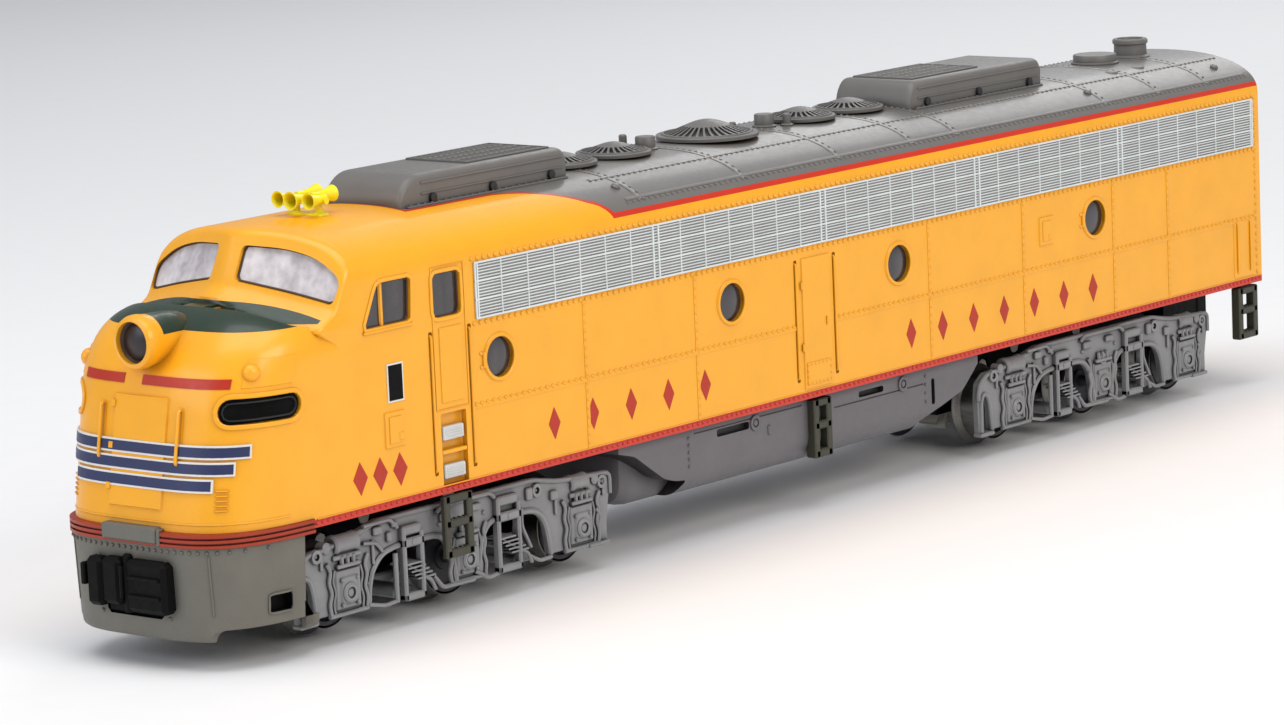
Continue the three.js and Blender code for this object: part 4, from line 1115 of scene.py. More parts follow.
def nose_details(work):
    """The nose door, grab irons, marker lights, number board rims and louvres."""
    door_half, low, high = 2.65, 10.5, 18.35
    work.add(patch(nose_face, -door_half, door_half, low, high, 0.14, 0.12), slot=SHELL)
    for z in (11.6, 14.4, 17.3):
        work.add(patch(nose_face, -door_half - 0.25, -door_half + 0.25, z, z + 0.55, 0.24, 0.06), slot=SHELL)
    for side in SIDES.values():
        s = nose_run(side * 3.77)
        ends = [nose_face(s, z) for z in (13.8, 17.5)]
        path = [ends[0][0], ends[0][0] + ends[0][1] * 0.3, ends[1][0] + ends[1][1] * 0.3, ends[1][0]]
        work.add(tube(bent(path, 0.25), 0.13), slot=SHELL)
        work.add(patch(nose_face, s - 0.22, s + 0.22, 13.4, 17.7, 0.05, 0.05), slot=SHELL)

        rim = number_slot(side, 0.16)
        work.add(strip(nose_face, rim, 0.34, 0.16, 0.4, closed=True), slot=SHELL)
        run = sorted(nose_run(side * x) for x in (7.7, 9.2))
        work.add(patch(nose_face, run[0], run[1], 18.95, 21.0, 0.05, 0.1), slot=SHELL)
        lamp, normal = nose_face(nose_run(side * 8.05), 20.05)
        turned = [(0.62, -0.3), (0.62, 0.1), (0.5, 0.3), (0.3, 0.45), (0.0, 0.52)]
        work.add(on_normal(lamp, normal, turned), slot=SHELL)
        for ridge in range(5):
            z = 10.6 + 0.34 * ridge
            left = sorted((nose_run(side * 6.73), nose_run(side * 7.5)))
            work.add(patch(nose_face, left[0], left[1], z, z + 0.22, 0.13, 0.07), slot=SHELL)
    low_edge = [(s, 9.75) for s in np.linspace(nose_run(-9.2), nose_run(9.2), 60)]
    work.add(strip(nose_face, low_edge, 0.14, 0.06), slot=SHELL)


def on_normal(point, normal, profile, sides=20):
    """A turned shape standing on a surface: (radius, height) pairs ending on the axis."""
    normal = np.array(normal)
    across, other = across_of(normal, (0.2, 0.1, 0.97))
    flat, faces = lathe("z", (0, 0, 0), [(0, profile[0][1])] + profile, sides)
    return [tuple(np.array(point) + x * across + y * other + z * normal) for x, y, z in flat], faces


def roof_details(work):
    """Rivet seams and lifting eyes on the roof."""
    edge = 0.93 * HALF_WIDTH
    for y in (-20.5, -8.0, 4.2, 13.9, 20.0, 41.5, 49.5, 57.0):
        path = [(x, y) for x in np.linspace(-edge, edge, 41)]
        work.add(strip(roof_face, path, 0.5, 0.05), slot=SHELL)
        for side in SIDES.values():
            row = [(side * a, y + 0.35) for a in np.linspace(0.2, edge, 30)]
            work.rivets(roof_face, row, 0.62, size=0.8)
    for side in SIDES.values():
        for x, start, end in ((5.6, -22.5, 63.0), (8.75, -22.0, 63.0)):
            work.rivets(roof_face, [(side * x, start), (side * x, end)], 0.66, size=0.8)
            seam = [(side * (x - 0.22), start), (side * (x - 0.22), end)]
            work.add(strip(roof_face, seam, 0.3, 0.04, None), slot=SHELL)
        for y in (-21.5, 41.0, 60.5):
            point, normal = roof_face(side * 7.2, y)
            eye = [(0.35, -0.2), (0.35, 0.15), (0.18, 0.3), (0, 0.33)]
            work.add(on_normal(point, normal, eye, 14), slot=SHELL)


def rear_details(work):
    """The door, window and rivets on the flat rear wall."""
    door = rectangle(-2.6, 2.6, 9.2, 22.6)
    diaphragm = rounded(rectangle(-3.6, 3.6, 8.7, 24.0), [0.01, 0.01, 1.2, 1.2])
    work.add(strip(rear_face, diaphragm, 0.7, 0.32, 0.8, closed=True), slot=PLAIN)
    work.add(strip(rear_face, door, 0.14, 0.1, None, closed=True), slot=PLAIN)
    window = rounded(rectangle(-1.3, 1.3, 17, 21), 0.35)
    work.add(prism("y", window, REAR_Y - 0.1, REAR_Y + 0.06), slot=SHADOW)
    frame_path = rounded(rectangle(-1.4, 1.4, 16.9, 21.1), 0.4)
    work.add(strip(rear_face, frame_path, 0.26, 0.14, 0.4, closed=True), slot=PLAIN)
    for x in (-6.1, 6.1):
        work.rivets(rear_face, [(x, 9.6), (x, 25.6)])
    for z in (BELT_Z, 20.3):
        for side in SIDES.values():
            work.rivets(rear_face, [(side * 4.3, z), (side * 9.0, z)])
    for side in SIDES.values():
        for x in (4.9, 8.3):
            path = [(side * x, REAR_Y, 10.4), (side * x, REAR_Y + 0.28, 10.5)]
            path += [(side * x, REAR_Y + 0.28, 13.3), (side * x, REAR_Y, 13.4)]
            work.add(tube(bent(path), 0.1), slot=PLAIN)
        lamp = [(0.75, -0.1), (0.75, 0.2), (0.6, 0.3), (0.5, 0.2), (0, 0.2)]
        work.add(on_normal((side * 6.0, REAR_Y, 22.9), (0, 1, 0), lamp), slot=PLAIN)


def body_shell():
    shell = shell_solid()
    work = Piece("shell_details", *BODY_FINISHES)
    for side in SIDES.values():
        side_details(work, side)
    nose_details(work)
    roof_details(work)
    rear_details(work)
    work.add(anticlimber_band(), slot=BAND)
    work.add(box(-2.65, 2.65, -67.45, -65.6, 8.3, 9.45, 0.12), slot=BLOCK)
    work.add(box(2.65, 2.95, -67.35, -65.6, 8.15, 9.35, 0.08), slot=BLOCK)
    joined(shell, work.mesh_object())
    smooth(shell.data, 32)
    settle(shell, "locomotive_body", "body_shell", slot="armour_yellow")


body_shell()


# ---- Glazing, headlight, number boards and grilles ----
def pane_point(x, z, back):
    return (x, windshield_y(x, z, back), z)


def windshield():
    """Two raked panes just behind the body's surface, coloured as a painted reflection, each edged by a thin
    dark tube of painted shadow where it sinks into its opening.
    """
    work = Piece("windshield_panes", FINISH["milky_and_painted_reflection"], FINISH["shadow_edge"])
    for side in SIDES.values():
        outline = rounded([(side * x, z) for x, z in PANES], PANE_CORNERS)
        pane = inset(outline, -0.12)
        work.add(loft([[pane_point(x, z, d) for x, z in pane] for d in (0.36, 0.8)]), slot=0)
        path = sampled(inset(outline, 0.06), 0.4, closed=True)
        work.add(tube([pane_point(x, z, 0.36) for x, z in path], 0.1, 8, closed=True), slot=1)
    work.finish("locomotive_body", "windshield_glazing", slot="clear_plastic")


def side_glazing(name, side):
    """The side windows and round portholes, moulded as one clear strip behind the body side."""
    work = Piece(f"side_windows_{name}", FINISH["shade_painted"], FINISH["shadow_edge"], FINISH["yellow"])
    outer, inner = side * (HALF_WIDTH - 0.3), side * (HALF_WIDTH - 0.8)
    for outline, radius in SIDE_WINDOWS:
        shape = rounded(outline, radius)
        # The side glazing is painted dark for the shade of the inside seen through it.
        work.add(prism("x", inset(shape, -0.08), inner, outer), slot=0)
        # A thin dark tube round each window is painted shadow at the edge of its opening.
        lip = [(outer + side * 0.02, y, z) for y, z in sampled(inset(shape, 0.02), 0.5, closed=True)]
        work.add(tube(lip, 0.1, 6, closed=True), slot=1)
    top, bottom = (outer, -50.15, 24.75), (outer, -50.15, 21.6)
    work.add(tube([bottom, top], 0.2, 8), slot=2)
    for y in PORTHOLES["at"]:
        r = PORTHOLES["radius"]
        profile = [(0, inner), (r + 0.05, inner), (r + 0.05, outer), (r - 0.4, outer + side * 0.06)]
        profile.append((0, outer + side * 0.1))
        work.add(lathe("x", (0, y, PORTHOLES["z"]), profile, 40), slot=0)
    work.finish("locomotive_body", f"side_glazing_{name}", slot="clear_plastic")


def headlight():
    """The domed lens sunk in the headlight's bore."""
    work = Piece("headlight_glass", FINISH["lens"], FINISH["shadow_edge"])
    # The lens is painted dark for the shade of the bore behind it.
    profile = [(0, -65.7), (0.6, -65.62), (1.15, -65.45), (1.42, -65.25), (1.46, -64.7), (0, -64.7)]
    work.add(lathe("y", (0, 0, HEADLIGHT_Z), profile, 40), slot=0)
    # A dark ring of painted shadow round the lens's rim.
    ring = [(1.3, -65.3), (1.49, -65.55), (1.49, -64.9), (1.3, -64.9), (1.3, -65.3)]
    work.add(lathe("y", (0, 0, HEADLIGHT_Z), ring, 40), slot=1)
    work.finish("locomotive_body", "headlight_lens", slot="clear_plastic")


def number_board(name, side):
    """A blank black board at the back of its slot."""
    work = Piece(f"blank_number_board_{name}", FINISH["black"], FINISH["dark"])
    slot = number_slot(side, -0.02)
    inner = number_slot(side, -0.22)
    rings = [lifted(nose_face, slot, -0.42), lifted(nose_face, slot, -0.2), lifted(nose_face, inner, -0.24)]
    work.add(loft(rings), slot=0)
    work.add(strip(nose_face, number_slot(side, -0.3), 0.12, -0.1, 0.4, closed=True, sunk=0.3), slot=1)
    work.finish("locomotive_body", f"number_board_{name}", slot="black_plastic")


def grille(name, side):
    """The long stainless air intake: sections of thin wires in three bands, with upright bars."""
    work = Piece(f"side_grille_{name}", FINISH["grille"], FINISH["grille_back"])
    front, rear, bottom, top = GRILLE.values()
    work.add(side_box(side, -0.2, 0.03, front, rear, bottom, top, 0.02), slot=1)

    def bar(y0, y1, z0, z1, height):
        work.add(side_box(side, -0.05, height, y0, y1, z0, z1, 0.015), slot=0)

    band = (top - bottom) / 3
    for i in range(4):
        z = bottom + i * band
        bar(front, rear, z - 0.07, z + 0.07, 0.14)
    for i in range(3):
        for k in range(1, 6):
            z = bottom + i * band + k * band / 6
            bar(front, rear, z - 0.045, z + 0.045, 0.08)
    sections = 5
    length = (rear - front) / sections
    for i in range(sections + 1):
        y = front + i * length
        for offset in (-0.32, 0.32):
            at = min(max(y + offset, front + 0.08), rear - 0.08)
            bar(at - 0.08, at + 0.08, bottom, top, 0.15)
    for i in range(sections):
        for k in range(1, 7):
            y = front + (i + k / 7) * length
            bar(y - 0.055, y + 0.055, bottom, top, 0.12)
    work.finish("locomotive_body", slot="plated_steel")


windshield()
headlight()
for name, side in SIDES.items():
    side_glazing(name, side)
    number_board(name, side)
    grille(name, side)


# ---- Plain marks in place of the lettering ----
def diamond(y, z, width, height):
    return [(y - width / 2, z), (y, z - height / 2), (y + width / 2, z), (y, z + height / 2)]


def decal(face, outline, height=0.03):
    return loft([lifted(face, outline, -0.05), lifted(face, outline, height)])


def side_marks(name, side):
    """Two rows of plain red diamonds along the side and three on the cab, all of one shape."""
    work = Piece(f"side_marks_{name}", FINISH["mark_red"], FINISH["black"], FINISH["mark_white"])
    face = side_face(side)
    for start, pitch, count in ((-32.2, 4.45, 5), (12.1, 4.3, 7)):
        for k in range(count):
            work.add(decal(face, diamond(start + k * pitch, 11.6, 1.3, 2.4)), slot=0)
    for k in range(3):
        work.add(decal(face, diamond(-53.4 + 2.1 * k, 11.1, 1.5, 2.4)), slot=0)
    plate = rectangle(-50.15, -48.45, 16.0, 18.8)
    work.add(decal(face, plate, 0.06), slot=2)
    work.add(decal(face, inset(plate, 0.13), 0.08), slot=1)
    work.finish("locomotive_body", slot="armour_yellow")


def nose_marks():
    """Plain navy bars edged in white across the nose, and two red dashes under the headlight."""
    work = Piece("nose_marks", FINISH["mark_navy"], FINISH["mark_white"], FINISH["mark_red"])

    def band(s0, s1, z0, z1, height):
        return patch(nose_face, s0, s1, z0, z1, height, 0.02, 0.6)

    for end, z in ((8.35, 14.7), (7.75, 13.55), (6.6, 12.4)):
        half = nose_run(end)
        work.add(band(-half, half, z - 0.5, z + 0.5, 0.18), slot=1)
        work.add(band(-half + 0.14, half - 0.14, z - 0.36, z + 0.36, 0.2), slot=0)
    for start, end in ((-6.5, -1.95), (-0.1, nose_run(7.2))):
        work.add(band(start, end, 19.0, 19.7, 0.05), slot=2)
    work.finish("locomotive_body", slot="armour_yellow")


for name, side in SIDES.items():
    side_marks(name, side)
nose_marks()


# ---- Roof equipment ----
HATCH = {"half": 3.8, "base": 28.6, "top": 30.8}
HORN = {"y": -47.5, "z": 29.9}
UP = np.array((0, 0, 1))


def hatch_block(front, rear, nose_round):
    """A long low hatch: rounded along its top edges, with a quarter-round front end."""
    rings = []
    half, base, top = HATCH["half"], HATCH["base"], HATCH["top"]
    edge = 0.55
    turns = np.linspace(0.12, math.pi / 2, 9)
    stations = [(front + nose_round * (1 - math.cos(a)), math.sin(a)) for a in turns]
    stations += [(rear - 0.5, 1.0), (rear - 0.2, 0.95), (rear, 0.8)]
    for y, share in stations:
        height = base + (top - base) * share
        ring = [(half, y, base - 0.5)]
        for a in np.linspace(0, math.pi / 2, 6):
            ring.append((half - edge * (1 - math.cos(a)), y, height - edge * (1 - math.sin(a))))
        ring += [(-x, at, z) for x, at, z in ring[::-1]]
        rings.append(ring)
    return loft(rings)


def roof_hatch(node, front, rear, grate, nose_round):
    """A dynamic brake or boiler hatch with side grooves, pins and a louvred grating in its top."""
    work = Piece(f"{node}_detail", FINISH["roof"], FINISH["dark"])
    work.add(hatch_block(front, rear, nose_round))
    half, top = HATCH["half"], HATCH["top"]
    start, end = front + nose_round, rear - 0.4
    pin = [(0, half), (0.34, half), (0.34, half + 0.25), (0, half + 0.32)]
    for side in SIDES.values():
        for z in (29.35, 30.15):
            work.add(box(side * (half - 0.1), side * (half + 0.07), start, end, z - 0.08, z + 0.08, 0.03))
        for y in np.linspace(start + 1.2, rear - 1.8, 3):
            work.add(lathe("x", (0, y, 28.95), [(r, side * x) for r, x in pin], 14), slot=1)
        work.add(box(side * (half - 0.2), side * (half + 0.35), front + 0.6, rear - 0.1, 28.35, 28.62, 0.06))
        for k in range(int((rear - front - 1.4) / 0.75)):
            y = front + 1.0 + 0.75 * k
            work.add(dome((side * (half + 0.2), y, 28.62), UP, 0.12, 0.08))
    low, high = grate
    rim = rectangle(-2.9, 2.9, low, high)
    work.add(strip(lambda x, y: (np.array((x, y, top)), UP), rim, 0.3, 0.14, None, closed=True))
    # A dark sheet under the grating is painted shade.
    work.add(box(-2.8, 2.8, low + 0.1, high - 0.1, top - 0.2, top + 0.02, 0.02), slot=1)
    bars = round((high - low) / 0.62)
    for k in range(1, bars):
        y = low + (high - low) * k / bars
        work.add(box(-2.8, 2.8, y - 0.13, y + 0.13, top - 0.1, top + 0.12, 0.04))
    for x in (-1.4, 0, 1.4):
        work.add(box(x - 0.1, x + 0.1, low, high, top - 0.1, top + 0.13, 0.04))
    work.finish("locomotive_body", node, slot="roof_grey")


def roof_fan(node, slots):
    """A domed fan grille: a thin flange, curved slots on its slope over a well painted dark as the shade
    beneath them, and a smooth crown.
    """
    low, high = rail_box(node)
    x, y = (low.x + high.x) / 2, (low.y + high.y) / 2
    r, top, base = (high.x - low.x) / 2, high.z, low.z
    rim = base + 0.3
    work = Piece(f"{node}_grille", FINISH["roof"], FINISH["dark"])

    def crown(share):
        """The dome's height at a share of its radius: flat in the middle, then a long slope."""
        return rim + 0.08 + (top - rim - 0.08) * 0.5 * (1 + math.cos(math.pi * min(share / 0.95, 1)))

    flange = [(0.84 * r, base), (r, base), (r, rim - 0.06), (r - 0.06, rim), (0.9 * r, rim)]
    flange += [(0.88 * r, rim + 0.12), (0.84 * r, rim + 0.12), (0.84 * r, base)]
    work.add(lathe("z", (x, y, 0), flange, 56))
    shares = np.linspace(0, 0.45, 9)
    cap = [(share * r, crown(share)) for share in shares]
    cap += [(0.45 * r, crown(0.45) - 0.25), (0, crown(0.45) - 0.25)]
    work.add(lathe("z", (x, y, 0), cap, 48))
    # The well is painted dark for the shade under the slots.
    well = [(0, base), (0.86 * r, base), (0.86 * r, rim - 0.05)]
    well += [(0.44 * r, crown(0.44) - 0.2), (0, crown(0.44) - 0.2)]
    work.add(lathe("z", (x, y, 0), well, 40), slot=1)
    for k in range(slots):
        a = 2 * math.pi * k / slots
        rings = []
        for share in np.linspace(0.42, 0.88, 6):
            radius, width = share * r, 0.26 * share * r * math.pi / slots + 0.03
            along = np.array((math.cos(a + 0.2 * share), math.sin(a + 0.2 * share)))
            across = np.array((-along[1], along[0]))
            left, right = along * radius - across * width, along * radius + across * width
            z = crown(share)
            corners = ((left, z), (right, z), (right, z - 0.25), (left, z - 0.25))
            rings.append([(x + at[0], y + at[1], level) for at, level in corners])
        work.add(loft(rings))
    work.finish("locomotive_body", node, slot="roof_grey")


def steam_stack():
    """The tall round stack at the rear, with a rolled rim over a bore whose floor is painted dark as shade.
    """
    low, high = rail_box("steam_stack")
    y = (low.y + high.y) / 2
    work = Piece("steam_stack_detail", FINISH["roof"], FINISH["dark"])
    top = high.z
    profile = [(1.75, 28.2), (1.72, 28.75), (1.45, 28.9), (1.42, top - 0.5), (1.55, top - 0.4)]
    profile += [(1.55, top - 0.12), (1.42, top), (1.15, top), (1.08, top - 0.15), (1.08, 28.4), (1.75, 28.2)]
    work.add(lathe("z", (0, y, 0), profile, 40))
    # The bore's floor is painted dark as shade.
    work.add(lathe("z", (0, y, 0), [(0, 28.4), (1.1, 28.4), (1.1, 29.0), (0, 29.0)], 24), slot=1)
    work.finish("locomotive_body", "steam_stack", slot="roof_grey")


def roof_stubs():
    """Short pipes, the low stack and other castings that are part of the roof."""
    work = Piece("roof_pipes", FINISH["roof"], FINISH["dark"])
    stubs = (
        (0, -9.1, 0.8, 29.75), (0, 5.9, 0.8, 29.75), (0, 52.7, 1.9, 29.5),
        (-1.6, -9.9, 0.32, 29.9), (1.3, 7.2, 0.34, 29.7), (-1.9, 4.2, 0.3, 29.2),
    )
    for x, y, r, top in stubs:
        foot, edge, sides = (r + 0.2, 0.08, 20) if x else (r + 0.18, 0.06, 32)
        profile = [(0, 28.2), (foot, 28.2), (foot, 28.8), (r, 28.9), (r, top - 0.1)]
        work.add(lathe("z", (x, y, 0), profile + [(r - edge, top), (0, top)], sides))
    for y in (53.0, 49.0):
        work.add(lathe("z", (4.2, y, 0), [(0, 27.2), (0.7, 27.2), (0.7, 28.3), (0.55, 28.5), (0, 28.55)], 20))
    work.finish("locomotive_body", slot="roof_grey")


def bell(direction, x, z, length, mouth):
    """One flared horn bell, open at its mouth, from the manifold outwards."""
    outer = [(0.0, -0.35), (0.3, -0.3), (0.34, 0.0), (0.3, 0.15)]
    outer += [(0.3 + (mouth - 0.3) * t ** 1.9, 0.15 + (length - 0.15) * t) for t in np.linspace(0.15, 1, 9)]
    inner = [(r * 0.8, d) for r, d in outer[:4:-1]]
    inner[0] = (mouth * 0.84, length - 0.03)
    profile = outer + inner + [(0.0, inner[-1][1] - 0.1)]
    return lathe("y", (x, HORN["y"], z), [(r, direction * d) for r, d in profile], 24)


def air_horn():
    """A five-chime air horn: three bells forward, two back, on a cross pipe with two feet."""
    y, z = HORN["y"], HORN["z"]
    work = Piece("air_horn_detail", FINISH["horn"])
    for x, length, mouth in ((-1.5, 1.5, 0.62), (0.0, 1.8, 0.68), (1.5, 1.5, 0.62)):
        work.add(bell(-1, x, z, length, mouth))
    for x in (-0.75, 0.75):
        work.add(bell(1, x, z + 0.15, 1.9, 0.62))
    work.add(tube([(-1.95, y, z - 0.12), (1.95, y, z - 0.12)], 0.26, 12))
    for x in (-1.1, 1.1):
        foot = [(0, 28.0), (0.55, 28.0), (0.55, 28.75), (0.3, 28.95), (0.26, z), (0, z)]
        work.add(lathe("z", (x, y, 0), foot, 16))
    work.add(box(-1.7, 1.7, y - 0.55, y + 0.55, 28.3, 28.85, 0.12))
    work.finish("locomotive_body", "air_horn", slot="horn_yellow")


front_hatch, rear_hatch = ([corner.y for corner in rail_box(f"roof_hatch_{end}")] for end in ENDS)
roof_hatch("roof_hatch_front", *front_hatch, grate=(-33.4, front_hatch[1] - 1.0), nose_round=2.3)
roof_hatch("roof_hatch_rear", *rear_hatch, grate=(rear_hatch[0] + 1.6, 31.0), nose_round=1.2)
for number, slots in enumerate((26, 26, 34, 26, 26), 1):
    roof_fan(f"roof_fan_{number}", slots)
steam_stack()
roof_stubs()
air_horn()


# ---- Pilot, couplers, fuel tank and steps ----
PILOT = {"back": -59.3, "bottom": 1.4, "top": 8.2, "wall": 0.6, "half": 9.0, "depth": 12.0}
TANK = {"half": 8.5, "bottom": 3.1, "top": 8.3, "front": -24.05, "rear": 22.2}


def pilot_size(share):
    """The pilot's half width and depth at a share of its height."""
    return PILOT["half"] + 0.35 * share, PILOT["depth"] + 0.2 * share


def pilot_share(z):
    return (z - PILOT["bottom"]) / (PILOT["top"] - PILOT["bottom"])


def pilot_plan(share, grow=0.0, steps=64):
    """The pilot's plan at a share of its height: a squared half-ellipse, closed across its back."""
    half, depth = (size + grow for size in pilot_size(share))
    turns = [(math.cos(a), math.sin(a)) for a in np.linspace(0, math.pi, steps + 1)]
    return [(half * squared(c, NOSE_POWER), NOSE_ROOT_Y - depth * squared(s, NOSE_POWER)) for c, s in turns]


def pilot_face(s, z):
    """The pilot's front surface from (x, z)."""
    half, depth = pilot_size(pilot_share(z))
    ratio = min(abs(s) / half, 0.999)
    y = NOSE_ROOT_Y - depth * (1 - ratio ** NOSE_POWER) ** (1 / NOSE_POWER)
    slope_x = math.copysign((ratio ** (NOSE_POWER - 1)) / half, s)
    slope_y = -((-(y - NOSE_ROOT_Y) / depth) ** (NOSE_POWER - 1)) / depth
    normal = np.array((slope_x, slope_y, 0))
    return np.array((s, y, z)), normal / np.linalg.norm(normal)


def pilot_side(side):
    """The pilot's flank from (y, z)."""
    def place(y, z):
        half, depth = pilot_size(pilot_share(z))
        x = half * (1 - ((NOSE_ROOT_Y - y) / depth) ** NOSE_POWER) ** (1 / NOSE_POWER)
        point, normal = pilot_face(side * x, z)
        return np.array((side * x, y, z)), normal
    return place


def pilot():
    finishes = [FINISH["olive"], FINISH["black"]]
    base = Piece("pilot_detail", *finishes)
    levels = [(0.0, -0.25), (0.02, -0.1), (0.05, 0.0), (0.3, 0), (0.6, 0), (0.9, 0), (1.0, 0)]
    height = PILOT["top"] - PILOT["bottom"]
    base.add(loft([[(x, y, PILOT["bottom"] + height * s) for x, y in pilot_plan(s, g)] for s, g in levels]))
    # The pilot's inside, its coupler opening and its side holes are painted black as shade.
    inner = Piece("inner", *finishes)
    inner.add(loft([[(x, y, z) for x, y in pilot_plan(0.4, -PILOT["wall"])] for z in (0.5, 9)]), slot=1)
    cuts = Piece("cuts", *finishes)
    cuts.add(box(-10, 10, PILOT["back"], -50, 0, 10, 0.01))
    cuts.add(box(-2.8, 2.8, -70, -64, 2.9, 6.95, 0.3), slot=1)
    for side in SIDES.values():
        low_cut = [(side * 6.2, 0), (side * 6.2, 2.3), (side * 11, 2.3), (side * 11, 0)]
        cuts.add(prism("y", rounded(low_cut, [0.01, 1.1, 0.01, 0.01], 8), -68, -58))
        cuts.add(box(side * 7, side * 11, -62.5, -60.6, 3.15, 4.35, 0.05), slot=1)
    made = carved(base, ("DIFFERENCE", inner), ("DIFFERENCE", cuts))
    work = Piece("pilot_extras", *finishes)
    work.rivets(pilot_face, [(x, 7.85) for x in np.linspace(-8.9, 8.9, 60)], 0.6, size=0.9)
    for side in SIDES.values():
        work.add(strip(pilot_face, [(side * 6.6, 3.3), (side * 6.6, 7.6)], 0.16, 0.07, None))
        path = rounded(rectangle(-62.6, -60.5, 3.05, 4.45), 0.1)
        work.add(strip(pilot_side(side), path, 0.18, 0.1, 0.4, closed=True))
        # A black block behind each side hole is painted shade.
        work.add(box(side * 7.9, side * 8.2, -62.8, -60.3, 2.9, 4.6, 0.05), slot=1)
        work.rivets(pilot_face, [(side * 3.3, 3.0), (side * 3.3, 7.0)], 1.0)
    joined(made, work.mesh_object())
    smooth(made.data, 30)
    settle(made, "locomotive_body", "pilot", slot="underframe_olive")


def coupler_head(work, front, facing):
    """A boxy knuckle coupler head: two blocks with a gap between them, a hooked jaw and a pin."""
    back = front - facing * 1.7
    blocks = (
        (-3.9, -2.35, back, front, 3.5, 7.0, 0.32), (-2.35, -0.55, back, front, 3.75, 7.1, 0.32),
        (0.05, 3.9, back, front, 3.4, 7.1, 0.32), (-0.7, 0.2, back, front - facing * 0.5, 3.7, 6.8, 0.15),
        (-4.8, -4.35, back, front - facing * 0.4, 4.8, 6.4, 0.1),
        (-4.6, -3.5, back, back + facing * 0.6, 5.2, 6.0, 0.1),
    )
    for shape in blocks:
        work.add(box(*shape))
    for z in (4.6, 5.9):
        low, high = sorted((front, front + facing * 0.12))
        work.add(box(0.5, 3.5, low - 0.1, high, z - 0.12, z + 0.12, 0.05))
    pin = [(0, 3.2), (0.42, 3.2), (0.42, 7.2), (0.3, 7.35), (0, 7.35)]
    work.add(lathe("z", (-0.3, (front + back) / 2, 0), pin, 20))
    lip = front + facing * 0.15
    work.add(tube(bent([(-0.25, front, 6.6), (-0.1, lip, 6.2), (-0.1, lip, 4.4)]), 0.16))


def couplers():
    work = Piece("front_coupler_detail", FINISH["black"])
    coupler_head(work, -68.05, -1)
    work.add(box(-2.75, 2.75, -67.0, -62.6, 2.95, 6.9, 0.2))
    work.finish("locomotive_body", "front_coupler", slot="black_plastic")

    low, high = rail_box("rear_coupler")
    pivot, middle = 60.4, COUPLER_Z
    work = Piece("rear_coupler_detail", FINISH["black"], FINISH["steel"])
    half = (high.x - low.x) / 2
    work.add(box(-half + 0.1, half - 0.1, high.y - 1.9, high.y, low.z, high.z, 0.3))
    work.add(box(-0.35, 0.35, high.y - 0.5, high.y, low.z + 0.3, high.z - 0.3, 0.1))
    work.add(box(-0.9, 0.9, pivot, high.y - 1.6, middle - 0.55, middle + 0.55, 0.15))
    boss = [(0, -0.7), (1.3, -0.7), (1.45, -0.5), (1.45, 0.5), (1.3, 0.7), (0, 0.7)]
    work.add(lathe("z", (0, pivot, middle), boss, 32))
    pin = [(0, low.z), (0.4, low.z), (0.4, high.z - 0.1), (0.3, high.z), (0, high.z)]
    work.add(lathe("z", (0, high.y - 0.95, 0), pin, 20), slot=1)
    work.finish("rear_coupler", "rear_coupler", slot="black_plastic")


def tank_section(half, bottom, top, curve):
    """The tank in (x, z): straight sides that roll under to a flat bottom."""
    right = [(half, top), (half, bottom + curve)]
    right += [(half - curve * (1 - math.cos(a)), bottom + curve * (1 - math.sin(a)))
              for a in np.linspace(0.2, math.pi / 2, 8)]
    return right + [(-x, z) for x, z in right[::-1]]


